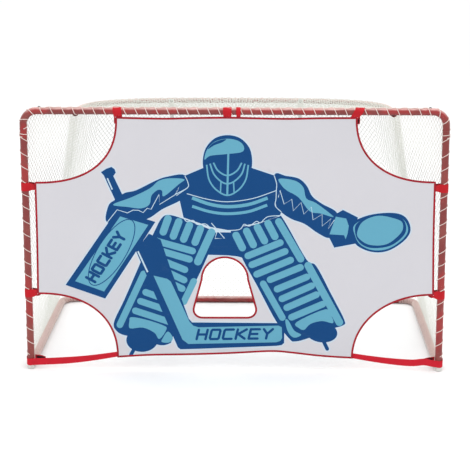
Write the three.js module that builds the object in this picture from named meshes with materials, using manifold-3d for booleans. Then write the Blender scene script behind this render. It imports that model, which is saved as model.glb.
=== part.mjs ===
// Steel-tube ice hockey goal with a laced net and a strapped-on shooting target sheet.
// Millimetres, +Z up. The goal mouth faces -Y and the net runs back towards +Y.
// The parts are laid out with the posts' axes in the plane y = 0 and the ground at z = 0,
// and the whole group is then moved back so that the origin is under the middle of the goal.
import * as THREE from 'three';
import { mergeVertices } from 'three/addons/utils/BufferGeometryUtils.js';
import Module from 'manifold-3d';

const wasm = await Module();
wasm.setup();

// ---------- driving dimensions ----------
const GAP = 0.3; // between pieces that touch
const SIDES = 9; // half the number of facets round a tube

const TUBE_R = 16; // posts, crossbar and base
const TUBE_BORE_R = 14.5;
const SLEEVE_R = TUBE_BORE_R - GAP; // what plugs into a frame tube
const SLEEVE_BORE_R = 12.7;
const POST_X = 930.5; // posts' axes, left and right of the middle
const BAR_Z = 1190; // crossbar axis
const CORNER_BEND_R = 60;
const CORNER_LEG = 85; // from the corner of the axes to each joint
const SPIGOT = 24; // swaged end that enters the corner tube
const SWAGE = 3; // taper between the full tube and its swaged end

const BASE_Z = TUBE_R; // the base tubes lie on the ground
const BASE_DEPTH = 1100; // rear bar axis
const REAR_BEND_R = 80;
const REAR_JOINT_X = 700;
const BASE_SLEEVE_LENGTH = 120;
const RAIL_STUB_END = 60; // how far back the post's welded stub reaches
const CROSSBAR_SLEEVE_LENGTH = 160;

const SHELF_R = 11; // bent top shelf tube
const SHELF_BORE_R = 9.8;
const SHELF_Z = 1178;
const SHELF_HALF = 700;
const SHELF_FRONT = 18;
const SHELF_BACK = 410;
const SHELF_ROUNDNESS = 3.3; // exponent of the superellipse that the shelf follows
const SHELF_SLEEVE_LENGTH = 100;
const SOCKET_R = 13.8; // welded socket that takes the shelf tube's end
const SOCKET_BORE_R = 11.8;
const SOCKET_FLOOR = 8;
const SOCKET_END = 55;

const STAY_X = 300;
const STAY_R = 9.5;
const STAY_BORE_R = 8.3;
const STAY_TOP = [389, 1157]; // y and z where the stay's tube meets its top tab
const STAY_FOOT = [1081.8, 38];
const TAB_WIDTH = 22;
const TAB_THICK = 3;

const FOOT_FLANGE_R = 16.6;
const FOOT_FLANGE = 5.7;
const FOOT_STEM_TOP = 19;

const SCREW_R = 3;
const SCREW_HOLE_R = 3.4;
const SCREW_HEAD_R = 6;
const SCREW_HEAD = 4.2;

const NET_THICK = 1.6;
const NET_OUTSET = 2.2; // from a tube's surface to the middle of the net
const NET_LEAN = 1.2; // the back net leans, so it stands further off level with a tube's axis
const NET_FRONT = 25; // the net starts this far behind the posts' axes

const SHEET_FRONT = -9;
const SHEET_THICK = 1.5;
const SHEET_HALF = 885;
const SHEET_TOP = 1155;
const SHEET_FOOT = 52;
const SHEET_FOOT_RISE = 16; // the hem arches up between the lower straps
const SHEET_BODY_HALF = 528; // half width of the top and foot edges
const UPPER_CUT_Z = 869; // lower edge of the upper corner targets
const LOWER_CUT_Z = 349; // upper edge of the lower corner targets
const CUT_ROUNDNESS = 2.55;
const FIVE_HOLE = { x: -47, foot: 247, top: 523, archR: 100, footHalf: 147, cornerR: 34 };

const STRAP_THICK = 1.8;
const STRAP_WIDTH = 38;
const LOW_STRAP_WIDTH = 27;
const TIE_WIDTH = 20;
const STRAP_LOOP_R = TUBE_R + 0.6 + STRAP_THICK / 2; // middle of the webbing round a tube
const STRAP_TAIL_Y = -5.9; // the sewn tail lies behind the sheet
const STRAP_SEWN = 25;
const FLAP_THICK = 1.6;
const FLAP_ROOT = [14.2, STRAP_LOOP_R]; // along the strap, behind the tube's axis
const FLAP_TIP_Y = -3.2;
const FLAP_LENGTH = 46;
const TOP_STRAPS = { left: -512, centre: -30, right: 535 };
const TIE_X = 19;
const SIDE_STRAPS = { upper: 850, lower: 360 };
const LOW_STRAP_TILT = 0.68; // the lower straps climb over the base tube behind the post
const LOW_STRAP_SLOPE = 0.095; // and rise towards the sheet
const LOW_STRAP_Z = 35; // at the post's axis
const LOW_FLAP_Z = 47.5;

const BOX_MIDDLE_Y = 553.8; // middle of the finished goal, from front to back

// ---------- materials ----------
const finish = (color, roughness, metalness) => () =>
  new THREE.MeshStandardMaterial({ color, roughness, metalness });
const redPaint = finish(0xb5403c, 0.45, 0.1);
const whitePaint = finish(0xe9e9e4, 0.45, 0.1);
const bareSteel = finish(0x9a9a9a, 0.4, 0.9);
const blackSteel = finish(0x26262a, 0.45, 0.6);
const greyPlastic = finish(0xb9b9b4, 0.6, 0);
const whiteNetting = finish(0xf0f1ec, 0.9, 0);
const targetCloth = finish(0xdad9de, 0.85, 0);
const redWebbing = finish(0xc81e2c, 0.8, 0);
const blackHook = finish(0x1c1c1f, 0.95, 0);

// ---------- helpers ----------
const vec = (x, y, z) => new THREE.Vector3(x, y, z);
const point2 = (x, y) => new THREE.Vector2(x, y);
const goal = new THREE.Group();

function place(name, geometry, material, position = [0, 0, 0]) {
  const mesh = new THREE.Mesh(geometry, material());
  mesh.name = name;
  mesh.position.set(...position);
  goal.add(mesh);
  return mesh;
}

function solid(geometry) {
  const bare = geometry.clone();
  bare.deleteAttribute('normal');
  bare.deleteAttribute('uv');
  const merged = mergeVertices(bare, 1e-4);
  const vertProperties = new Float32Array(merged.attributes.position.array);
  const triVerts = new Uint32Array(merged.index.array);
  return new wasm.Manifold(new wasm.Mesh({ numProp: 3, vertProperties, triVerts }));
}

function toGeometry(manifold) {
  const { vertProperties, triVerts } = manifold.getMesh();
  const geometry = new THREE.BufferGeometry();
  geometry.setAttribute('position', new THREE.BufferAttribute(vertProperties, 3));
  geometry.setIndex(new THREE.BufferAttribute(triVerts, 1));
  return geometry;
}

const cutAway = (body, ...tools) =>
  toGeometry(tools.reduce((left, tool) => left.subtract(solid(tool)), solid(body)));
const joinUp = (first, ...others) =>
  toGeometry(others.reduce((whole, other) => whole.add(solid(other)), solid(first)));

// A straight ring from `from` to `to` along its own +Y.
function ring(outerR, boreR, from, to) {
  const profile = [
    point2(boreR, from), point2(outerR, from), point2(outerR, to), point2(boreR, to),
    point2(boreR, from),
  ];
  return new THREE.LatheGeometry(profile, 2 * SIDES);
}

// A plain tube with one end swaged down, so that it enters the next tube.
function swagedTube(from, shoulder) {
  const profile = [
    point2(TUBE_BORE_R, from), point2(TUBE_R, from), point2(TUBE_R, shoulder),
    point2(SLEEVE_R, shoulder), point2(SLEEVE_R, shoulder + SPIGOT),
    point2(SLEEVE_BORE_R, shoulder + SPIGOT), point2(SLEEVE_BORE_R, shoulder - SWAGE),
    point2(TUBE_BORE_R, shoulder - 2 * SWAGE), point2(TUBE_BORE_R, from),
  ];
  return new THREE.LatheGeometry(profile, 2 * SIDES);
}

function rod(radius, from, to, sides = 16) {
  const geometry = new THREE.CylinderGeometry(radius, radius, to - from, sides);
  return geometry.translate(0, (from + to) / 2, 0);
}

function bentTube(path, outerR, boreR, steps) {
  const section = new THREE.Shape().absarc(0, 0, outerR, 0, 2 * Math.PI, false);
  section.holes.push(new THREE.Path().absarc(0, 0, boreR, 0, 2 * Math.PI, true));
  return new THREE.ExtrudeGeometry(section, {
    extrudePath: path, steps, curveSegments: SIDES, bevelEnabled: false,
  });
}

// A flat strap of `width` (along Z) swept along a path that lies in the XY plane.
function ribbon(path, width, thickness, steps) {
  const section = new THREE.Shape([
    point2(-width / 2, -thickness / 2), point2(width / 2, -thickness / 2),
    point2(width / 2, thickness / 2), point2(-width / 2, thickness / 2),
  ]);
  return new THREE.ExtrudeGeometry(section, { extrudePath: path, steps, bevelEnabled: false });
}

// Straight lines and round bends that join smoothly, in one plane.
function filletedPath(corners, bendR, bendSteps = 8) {
  const points = [corners[0]];
  for (let i = 1; i < corners.length - 1; i += 1) {
    const back = corners[i - 1].clone().sub(corners[i]).normalize();
    const ahead = corners[i + 1].clone().sub(corners[i]).normalize();
    const half = back.angleTo(ahead) / 2;
    const centre = corners[i].clone().addScaledVector(
      back.clone().add(ahead).normalize(), bendR / Math.sin(half));
    const start = corners[i].clone().addScaledVector(back, bendR / Math.tan(half));
    const end = corners[i].clone().addScaledVector(ahead, bendR / Math.tan(half));
    for (let k = 0; k <= bendSteps; k += 1) {
      const spoke = start.clone().sub(centre).lerp(end.clone().sub(centre), k / bendSteps);
      points.push(centre.clone().addScaledVector(spoke.normalize(), bendR));
    }
  }
  points.push(corners[corners.length - 1]);
  return points;
}

// A curve that passes through every point in straight chords, at the points' own spacing.
class Polyline extends THREE.Curve {
  constructor(points) {
    super();
    this.points = points;
  }

  getPoint(t, target = vec(0, 0, 0)) {
    const place01 = t * (this.points.length - 1);
    const i = Math.min(Math.floor(place01), this.points.length - 2);
    return target.copy(this.points[i]).lerp(this.points[i + 1], place01 - i);
  }

  getPointAt(t, target) {
    return this.getPoint(t, target);
  }

  getSpacedPoints() {
    return this.points;
  }

  getTangentAt(t, target = vec(0, 0, 0)) {
    const i = Math.round(t * (this.points.length - 1));
    const before = this.points[Math.max(i - 1, 0)];
    const after = this.points[Math.min(i + 1, this.points.length - 1)];
    return target.copy(after).sub(before).normalize();
  }
}

const along = (points) => [new Polyline(points), points.length - 1];

// ---------- frame ----------
// side is -1 on the left and +1 on the right.
const sideName = (side) => (side < 0 ? 'left' : 'right');

function post(side) {
  const upright = swagedTube(FOOT_FLANGE + GAP, BAR_Z - CORNER_LEG).rotateX(Math.PI / 2);
  const stub = ring(SLEEVE_R, SLEEVE_BORE_R, 8, RAIL_STUB_END).translate(0, 0, BASE_Z);
  const bore = rod(TUBE_BORE_R, -4, 60, 2 * SIDES).rotateX(Math.PI / 2);
  const hole = rod(SCREW_HOLE_R, 8, 24).translate(0, 0, BAR_Z - CORNER_LEG + SPIGOT / 2);
  const railHole = rod(SCREW_HOLE_R, 6, 24).rotateX(Math.PI / 2)
    .translate(0, RAIL_STUB_END - 20, BASE_Z);
  const flangeRoom = rod(FOOT_FLANGE_R + GAP, -4, FOOT_FLANGE + GAP, 2 * SIDES)
    .rotateX(Math.PI / 2);
  const stubbed = joinUp(upright, cutAway(stub, bore, flangeRoom));
  place(`${sideName(side)}_post`, cutAway(stubbed, hole, railHole), redPaint,
    [side * POST_X, 0, 0]);
}

function foot(side) {
  const profile = [
    point2(0, 0), point2(FOOT_FLANGE_R - 2, 0), point2(FOOT_FLANGE_R, 2),
    point2(FOOT_FLANGE_R, FOOT_FLANGE), point2(SLEEVE_R, FOOT_FLANGE),
    point2(SLEEVE_R, FOOT_STEM_TOP), point2(0, FOOT_STEM_TOP),
  ];
  const plug = new THREE.LatheGeometry(profile, 2 * SIDES).rotateX(Math.PI / 2);
  place(`${sideName(side)}_foot`, plug, greyPlastic, [side * POST_X, 0, 0]);
}

function topCorner(side) {
  const corners = [
    vec(side * POST_X, 0, BAR_Z - CORNER_LEG + GAP),
    vec(side * POST_X, 0, BAR_Z),
    vec(side * (POST_X - CORNER_LEG + GAP), 0, BAR_Z),
  ];
  const [path, steps] = along(filletedPath(corners, CORNER_BEND_R, 7));
  const elbow = bentTube(path, TUBE_R, TUBE_BORE_R, steps);
  const middle = POST_X - CORNER_LEG + SPIGOT / 2;
  const barHole = rod(SCREW_HOLE_R, 8, 24).rotateX(Math.PI / 2)
    .translate(side * middle, 0, BAR_Z);
  const postHole = rod(SCREW_HOLE_R, 8, 24)
    .translate(side * POST_X, 0, BAR_Z - CORNER_LEG + SPIGOT / 2);
  place(`${sideName(side)}_top_corner`, cutAway(elbow, barHole, postHole), redPaint);
}

function crossbarHalf(side) {
  const turn = side < 0 ? Math.PI / 2 : -Math.PI / 2;
  const bar = swagedTube(GAP, POST_X - CORNER_LEG).rotateZ(turn);
  const cup = new THREE.LatheGeometry([
    point2(0, SOCKET_FLOOR), point2(SOCKET_R, SOCKET_FLOOR), point2(SOCKET_R, SOCKET_END),
    point2(SOCKET_BORE_R, SOCKET_END), point2(SOCKET_BORE_R, SOCKET_FLOOR + 3),
    point2(0, SOCKET_FLOOR + 3),
  ], 2 * SIDES).translate(side * SHELF_HALF, 0, SHELF_Z - BAR_Z);
  const bore = rod(TUBE_BORE_R, SHELF_HALF - 40, SHELF_HALF + 40, 2 * SIDES).rotateZ(turn);
  const shelfHole = rod(SCREW_HOLE_R, 5, 24).rotateX(Math.PI / 2)
    .translate(side * SHELF_HALF, 35, SHELF_Z - BAR_Z);
  const cornerHole = rod(SCREW_HOLE_R, 5, 24).rotateX(Math.PI / 2)
    .translate(side * (POST_X - CORNER_LEG + SPIGOT / 2), 0, 0);
  const socketed = joinUp(bar, cutAway(cup, bore));
  place(`crossbar_${sideName(side)}`, cutAway(socketed, shelfHole, cornerHole), redPaint,
    [0, 0, BAR_Z]);
}

function crossbarSleeve() {
  const half = CROSSBAR_SLEEVE_LENGTH / 2;
  place('crossbar_sleeve', ring(SLEEVE_R, SLEEVE_BORE_R, -half, half).rotateZ(Math.PI / 2),
    bareSteel, [0, 0, BAR_Z]);
}

function baseRail(side) {
  const corners = [
    vec(side * POST_X, 2, BASE_Z),
    vec(side * POST_X, BASE_DEPTH, BASE_Z),
    vec(side * (REAR_JOINT_X + GAP / 2), BASE_DEPTH, BASE_Z),
  ];
  const [path, steps] = along(filletedPath(corners, REAR_BEND_R, 7));
  const rail = bentTube(path, TUBE_R, TUBE_BORE_R, steps);
  const postClearance = rod(TUBE_R + 0.5, -5, 60, 2 * SIDES).rotateX(Math.PI / 2)
    .translate(side * POST_X, 0, 0);
  const footClearance = rod(FOOT_FLANGE_R + 0.5, -5, FOOT_FLANGE + 0.6, 2 * SIDES)
    .rotateX(Math.PI / 2).translate(side * POST_X, 0, 0);
  const hole = rod(SCREW_HOLE_R, 6, 24).rotateX(Math.PI / 2)
    .translate(side * POST_X, RAIL_STUB_END - 20, BASE_Z);
  place(`base_${sideName(side)}_rail`,
    cutAway(rail, postClearance, footClearance, hole), redPaint);
}

function baseRear() {
  const reach = REAR_JOINT_X - GAP / 2;
  const bar = ring(TUBE_R, TUBE_BORE_R, -reach, reach).rotateZ(Math.PI / 2);
  const holes = [-STAY_X, STAY_X].map((x) => rod(SCREW_HOLE_R, -24, -6).translate(x, 0, 0));
  place('base_rear_bar', cutAway(bar, ...holes), redPaint, [0, BASE_DEPTH, BASE_Z]);
  for (const side of [-1, 1]) {
    const half = BASE_SLEEVE_LENGTH / 2;
    place(`base_${sideName(side)}_sleeve`,
      ring(SLEEVE_R, SLEEVE_BORE_R, -half, half).rotateZ(Math.PI / 2), bareSteel,
      [side * REAR_JOINT_X, BASE_DEPTH, BASE_Z]);
  }
}

// The superellipse |x / half|^n + |(y - front) / (back - front)|^n = 1, from its side round
// to its rearmost point.
function shelfPoint(side, share, half, back) {
  const angle = (share * Math.PI) / 2;
  const power = 2 / SHELF_ROUNDNESS;
  const x = side * half * Math.cos(angle) ** power;
  const y = SHELF_FRONT + (back - SHELF_FRONT) * Math.sin(angle) ** power;
  return [x, y];
}

class ShelfHalfCurve extends THREE.Curve {
  constructor(side) {
    super();
    this.side = side;
  }

  getPoint(t, target = vec(0, 0, 0)) {
    const [x, y] = shelfPoint(this.side, Math.min(Math.max(t, 0), 1), SHELF_HALF, SHELF_BACK);
    return target.set(t > 0.999 ? (this.side * GAP) / 2 : x, y, SHELF_Z);
  }
}

function shelfHalf(side) {
  const spaced = new ShelfHalfCurve(side).getSpacedPoints(18);
  const [path, steps] = along(spaced);
  const tube = bentTube(path, SHELF_R, SHELF_BORE_R, steps);
  const stayHole = rod(SCREW_HOLE_R, 385, 402, 12).translate(side * STAY_X, 0, SHELF_Z);
  const socketHole = rod(SCREW_HOLE_R, 5, 24).rotateX(Math.PI / 2)
    .translate(side * SHELF_HALF, 35, SHELF_Z);
  place(`top_shelf_${sideName(side)}`, cutAway(tube, stayHole, socketHole), redPaint);
}

function shelfSleeve() {
  const half = SHELF_SLEEVE_LENGTH / 2;
  place('top_shelf_sleeve',
    ring(SHELF_BORE_R - GAP, 8.2, -half, half).rotateZ(Math.PI / 2), bareSteel,
    [0, SHELF_BACK, SHELF_Z]);
}

function backStay(side) {
  const top = vec(0, ...STAY_TOP);
  const bottom = vec(0, ...STAY_FOOT);
  const length = top.distanceTo(bottom);
  const lean = Math.atan2(bottom.y - top.y, top.z - bottom.z);
  const tube = ring(STAY_R, STAY_BORE_R, 0, length).rotateX(-Math.PI / 2).rotateX(lean)
    .translate(top.x, top.y, top.z);
  const topTab = new THREE.BoxGeometry(TAB_WIDTH, TAB_THICK, 40).translate(0, 388.6, 1168);
  const footTab = new THREE.BoxGeometry(TAB_WIDTH, TAB_THICK, 46).translate(0, 1081.8, 28);
  const holes = [
    rod(SCREW_HOLE_R, 370, 395).translate(0, 0, SHELF_Z),
    rod(SCREW_HOLE_R, 1060, 1084).translate(0, 0, BASE_Z),
  ];
  place(`back_stay_${sideName(side)}`, cutAway(joinUp(tube, topTab, footTab), ...holes),
    whitePaint, [side * STAY_X, 0, 0]);
}

// A domed screw: its head stands on y = 0 and its shank runs towards -Y.
function screw(name, position, shank, turn) {
  const profile = [
    point2(0, -shank), point2(SCREW_R, -shank), point2(SCREW_R, 0), point2(SCREW_HEAD_R, 0),
    point2(SCREW_HEAD_R, SCREW_HEAD * 0.45), point2(SCREW_HEAD_R * 0.72, SCREW_HEAD * 0.85),
    point2(0, SCREW_HEAD),
  ];
  const mesh = place(name, new THREE.LatheGeometry(profile, 10), blackSteel, position);
  mesh.rotation.x = turn;
}

function screws(side) {
  const name = sideName(side);
  const up = Math.PI / 2;
  const forward = Math.PI;
  const spigotMiddle = CORNER_LEG - SPIGOT / 2;
  screw(`${name}_corner_screw`,
    [side * (POST_X - spigotMiddle), 0, BAR_Z + TUBE_R + GAP], 6, up);
  screw(`${name}_post_screw`,
    [side * POST_X, TUBE_R + GAP, BAR_Z - spigotMiddle], 6, 0);
  screw(`${name}_shelf_screw`,
    [side * SHELF_HALF, 35, SHELF_Z + SOCKET_R + GAP], 7, up);
  screw(`${name}_rail_screw`,
    [side * POST_X, RAIL_STUB_END - 20, BASE_Z + TUBE_R + GAP], 6, up);
  screw(`${name}_stay_top_screw`,
    [side * STAY_X, 388.6 - TAB_THICK / 2 - GAP, SHELF_Z], 12, forward);
  screw(`${name}_stay_foot_screw`,
    [side * STAY_X, 1081.8 - TAB_THICK / 2 - GAP, BASE_Z], 12, forward);
}

// ---------- net ----------
// A thin slab whose middle surface is surface(u, v), with u and v from 0 to 1. Both faces
// split each cell along the same diagonal, so the slab keeps its thickness where it twists.
function bentSlab(surface, uSteps, vSteps, thickness) {
  const positions = [];
  const step = 1e-3;
  for (const face of [0.5, -0.5]) {
    for (let i = 0; i <= uSteps; i += 1) {
      for (let j = 0; j <= vSteps; j += 1) {
        const [u, v] = [i / uSteps, j / vSteps];
        const du = surface(u + step, v).sub(surface(u - step, v));
        const dv = surface(u, v + step).sub(surface(u, v - step));
        const normal = du.cross(dv).normalize();
        positions.push(...surface(u, v).addScaledVector(normal, face * thickness));
      }
    }
  }
  const at = (i, j) => i * (vSteps + 1) + j;
  const faceSize = (uSteps + 1) * (vSteps + 1);
  const triangles = [];
  const rim = [];
  for (let i = 0; i < uSteps; i += 1) {
    for (let j = 0; j < vSteps; j += 1) {
      const corners = [at(i, j), at(i + 1, j), at(i + 1, j + 1), at(i, j + 1)];
      const [a, b, c, d] = corners;
      triangles.push(a, b, c, a, c, d);
      triangles.push(...[a, c, b, a, d, c].map((k) => k + faceSize));
    }
    rim.push([at(i, 0), at(i + 1, 0)], [at(i + 1, vSteps), at(i, vSteps)]);
  }
  for (let j = 0; j < vSteps; j += 1) {
    rim.push([at(0, j + 1), at(0, j)], [at(uSteps, j), at(uSteps, j + 1)]);
  }
  for (const [from, to] of rim) {
    triangles.push(from, from + faceSize, to + faceSize, from, to + faceSize, to);
  }
  const slab = new THREE.BufferGeometry();
  slab.setAttribute('position', new THREE.Float32BufferAttribute(positions, 3));
  slab.setIndex(triangles);
  return slab;
}

function topNet() {
  const outline = new THREE.Shape();
  const inset = 17;
  const points = [];
  for (let k = 0; k <= 40; k += 1) {
    const side = k < 20 ? -1 : 1;
    const share = k < 20 ? k / 20 : (40 - k) / 20;
    const [x, y] = shelfPoint(side, share, SHELF_HALF - inset, SHELF_BACK - 3);
    points.push(point2(x, Math.max(y, NET_FRONT)));
  }
  outline.setFromPoints(points);
  const plate = new THREE.ExtrudeGeometry(outline, { depth: NET_THICK, bevelEnabled: false });
  place('net_top', plate, whiteNetting, [0, 0, SHELF_Z + SHELF_R + 1.5]);
}

const SHELF_CORNER_SHARE = 0.42; // where the side net meets the back net, along the shelf
const STRAIGHT_SHARE = 0.846; // of the back net's foot, between the base's rear bends
const shelfOutset = (SHELF_R + NET_OUTSET) * NET_LEAN;
const sideOutset = TUBE_R + NET_OUTSET;
const cornerOutset = (TUBE_R + NET_OUTSET) * NET_LEAN + 4;

// Where the upper edge of the side net runs: behind the corner tube and the crossbar, and
// then down the outside of the shelf tube.
function sideTopCurve(side) {
  const shelf = [0.03, 0.1, 0.2, 0.3, SHELF_CORNER_SHARE].map((share) => {
    const [x, y] = shelfPoint(side, share, SHELF_HALF + shelfOutset + 3,
      SHELF_BACK + shelfOutset);
    return vec(x, y, SHELF_Z);
  });
  return new THREE.CatmullRomCurve3([
    vec(side * (POST_X + 6), NET_FRONT, BAR_Z - 70),
    vec(side * (POST_X - 16), NET_FRONT, BAR_Z - 14),
    vec(side * (POST_X - 80), NET_FRONT, BAR_Z),
    vec(side * (SHELF_HALF + 60), NET_FRONT, BAR_Z),
    ...shelf,
  ], false, 'centripetal');
}

function sideBottomCurve(side) {
  const bend = REAR_BEND_R + cornerOutset;
  const centre = [side * (POST_X - REAR_BEND_R), BASE_DEPTH - REAR_BEND_R];
  const arc = [0, 15, 30, 44].map((degrees) => {
    const angle = THREE.MathUtils.degToRad(degrees);
    return vec(centre[0] + side * bend * Math.cos(angle), centre[1] + bend * Math.sin(angle),
      BASE_Z - 2);
  });
  const x = side * (POST_X + sideOutset);
  return new THREE.CatmullRomCurve3([
    vec(x, NET_FRONT, BASE_Z - 2), vec(x, 300, BASE_Z - 2), vec(x, 650, BASE_Z - 2), ...arc,
  ], false, 'centripetal');
}

function sideNet(side) {
  const top = sideTopCurve(side);
  const bottom = sideBottomCurve(side);
  const surface = (u, v) => {
    const clamped = Math.min(Math.max(side < 0 ? 1 - u : u, 0), 1);
    return bottom.getPointAt(clamped).lerp(top.getPointAt(clamped), v);
  };
  place(`net_${sideName(side)}`, bentSlab(surface, 26, 3, NET_THICK), whiteNetting);
}

function backNet() {
  const topHalfAt = (share) => shelfPoint(1, share, SHELF_HALF + shelfOutset + 3,
    SHELF_BACK + shelfOutset);
  const cornerAngle = THREE.MathUtils.degToRad(46);
  const bend = REAR_BEND_R + cornerOutset;
  const footAt = (u) => {
    const side = u < 0.5 ? -1 : 1;
    const reach = Math.abs(u - 0.5) * 2;
    const bendShare = Math.max(reach - STRAIGHT_SHARE, 0) / (1 - STRAIGHT_SHARE);
    const angle = Math.PI / 2 - bendShare * (Math.PI / 2 - cornerAngle);
    const x = Math.min(reach / STRAIGHT_SHARE, 1) * (POST_X - REAR_BEND_R) + bend * Math.cos(angle);
    return vec(side * x, BASE_DEPTH - REAR_BEND_R + bend * Math.sin(angle), BASE_Z - 2);
  };
  const topAt = (u) => {
    const reach = Math.abs(u - 0.5) * 2;
    const [x, y] = topHalfAt(1 - reach * (1 - SHELF_CORNER_SHARE - 0.004));
    return vec(u < 0.5 ? -x : x, y, SHELF_Z);
  };
  const surface = (u, v) => {
    const clamped = Math.min(Math.max(1 - u, 0), 1);
    return footAt(clamped).lerp(topAt(clamped), v);
  };
  place('net_back', bentSlab(surface, 26, 2, NET_THICK), whiteNetting);
}

// ---------- target sheet ----------
// A quarter of a superellipse, concave seen from the cloth.
function cornerCut(outline, side, cutX, cutZ, halfX, halfZ, startAngle, endAngle) {
  const steps = 12;
  const power = 2 / CUT_ROUNDNESS;
  for (let k = 0; k <= steps; k += 1) {
    const angle = startAngle + ((endAngle - startAngle) * k) / steps;
    const x = cutX - side * halfX * Math.abs(Math.cos(angle)) ** power;
    const z = cutZ + Math.sign(halfZ) * Math.abs(halfZ) * Math.abs(Math.sin(angle)) ** power;
    outline.push(point2(x, z));
  }
}

function sheetOutline() {
  const halfX = SHEET_HALF - SHEET_BODY_HALF;
  const upper = SHEET_TOP - UPPER_CUT_Z;
  const lower = LOWER_CUT_Z - SHEET_FOOT;
  const quarter = Math.PI / 2;
  const outline = [];
  cornerCut(outline, 1, SHEET_HALF, SHEET_FOOT, halfX, lower, 0, quarter);
  cornerCut(outline, 1, SHEET_HALF, SHEET_TOP, halfX, -upper, quarter, 0);
  cornerCut(outline, -1, -SHEET_HALF, SHEET_TOP, halfX, -upper, 0, quarter);
  cornerCut(outline, -1, -SHEET_HALF, SHEET_FOOT, halfX, lower, quarter, 0);
  const hemSteps = 12;
  for (let k = 1; k < hemSteps; k += 1) {
    const share = k / hemSteps;
    const x = SHEET_BODY_HALF * (2 * share - 1);
    outline.push(point2(x, SHEET_FOOT + SHEET_FOOT_RISE * Math.sin(Math.PI * share)));
  }
  return outline;
}

function fiveHoleOutline() {
  const { x, foot: low, top, archR, footHalf, cornerR } = FIVE_HOLE;
  const springLine = top - archR;
  const path = new THREE.Path();
  path.moveTo(x - footHalf + cornerR, low);
  path.lineTo(x + footHalf - cornerR, low);
  path.quadraticCurveTo(x + footHalf + 6, low, x + footHalf - 4, low + cornerR * 1.2);
  path.lineTo(x + archR, springLine);
  path.absarc(x, springLine, archR, 0, Math.PI, false);
  path.lineTo(x - footHalf + 4, low + cornerR * 1.2);
  path.quadraticCurveTo(x - footHalf - 6, low, x - footHalf + cornerR, low);
  return path;
}

function targetSheet() {
  const outline = new THREE.Shape(sheetOutline());
  outline.holes.push(fiveHoleOutline());
  const cloth = new THREE.ExtrudeGeometry(outline, {
    depth: SHEET_THICK, bevelEnabled: false, curveSegments: 10,
  });
  cloth.rotateX(Math.PI / 2).translate(0, SHEET_FRONT + SHEET_THICK, 0);
  place('target_sheet', cloth, targetCloth);
}

// ---------- straps ----------
// A strap in its own plane: x runs from the tube's axis towards the sheet, y is towards the
// back of the goal, and the webbing's width is along z. mirror is -1 to run towards -x.
function strapPoints(mirror, loopR, sewnFrom, sewnTo) {
  const points = [
    vec(mirror * sewnTo, STRAP_TAIL_Y, 0),
    vec(mirror * sewnFrom, STRAP_TAIL_Y, 0),
  ];
  const start = -70;
  const sweep = 232;
  const steps = 14;
  for (let k = 0; k <= steps; k += 1) {
    const angle = THREE.MathUtils.degToRad(start - (sweep * k) / steps);
    points.push(vec(mirror * loopR * Math.cos(angle), loopR * Math.sin(angle), 0));
  }
  return points;
}

function flapGeometry(mirror, root, tip, width) {
  const [path, steps] = along([vec(mirror * root[0], root[1], 0), vec(mirror * tip[0], tip[1], 0)]);
  return ribbon(path, width, FLAP_THICK, steps);
}

function flapTip(root, tipY, length) {
  const drop = root[1] - tipY;
  return [root[0] + Math.sqrt(length * length - drop * drop), tipY];
}

// Loops round the crossbar: the strap's x axis points down.
function topStrap(name, x, width) {
  const edge = BAR_Z - SHEET_TOP;
  const [path, steps] = along(strapPoints(1, STRAP_LOOP_R, edge, edge + STRAP_SEWN));
  const strap = place(`${name}_strap`, ribbon(path, width, STRAP_THICK, steps), redWebbing,
    [x, 0, BAR_Z]);
  strap.rotation.y = Math.PI / 2;
  const tip = flapTip(FLAP_ROOT, FLAP_TIP_Y, FLAP_LENGTH);
  const flap = place(`${name}_flap`, flapGeometry(1, FLAP_ROOT, tip, width - 2), blackHook,
    [x, 0, BAR_Z]);
  flap.rotation.y = Math.PI / 2;
}

function sideStrap(side, height, z) {
  const edge = POST_X - SHEET_HALF;
  const mirror = -side;
  const name = `${sideName(side)}_${height}`;
  const [path, steps] = along(strapPoints(mirror, STRAP_LOOP_R, edge, edge + STRAP_SEWN));
  place(`${name}_strap`, ribbon(path, STRAP_WIDTH, STRAP_THICK, steps), redWebbing,
    [side * POST_X, 0, z]);
  const tip = flapTip(FLAP_ROOT, FLAP_TIP_Y, FLAP_LENGTH);
  place(`${name}_flap`, flapGeometry(mirror, FLAP_ROOT, tip, STRAP_WIDTH - 2), blackHook,
    [side * POST_X, 0, z]);
}

// The lower straps run from the sheet's foot corners to the posts' feet.
function lowStrap(side) {
  const mirror = -side;
  const edge = POST_X - SHEET_BODY_HALF;
  const loopR = STRAP_LOOP_R + 0.6;
  const points = strapPoints(mirror, loopR, edge, edge + STRAP_SEWN);
  const [path, steps] = along(points);
  const webbing = ribbon(path, LOW_STRAP_WIDTH, STRAP_THICK, steps);
  const shear = new THREE.Matrix4().set(
    1, 0, 0, 0,
    0, 1, 0, 0,
    mirror * LOW_STRAP_SLOPE, LOW_STRAP_TILT, 1, 0,
    0, 0, 0, 1,
  );
  place(`${sideName(side)}_foot_strap`, webbing.applyMatrix4(shear), redWebbing,
    [side * POST_X, 0, LOW_STRAP_Z]);
  const root = [FLAP_ROOT[0] + 1.5, loopR];
  const tip = flapTip(root, 1, FLAP_LENGTH + 8);
  place(`${sideName(side)}_foot_flap`, flapGeometry(mirror, root, tip, LOW_STRAP_WIDTH - 2),
    blackHook, [side * POST_X, 0, LOW_FLAP_Z]);
}

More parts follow.
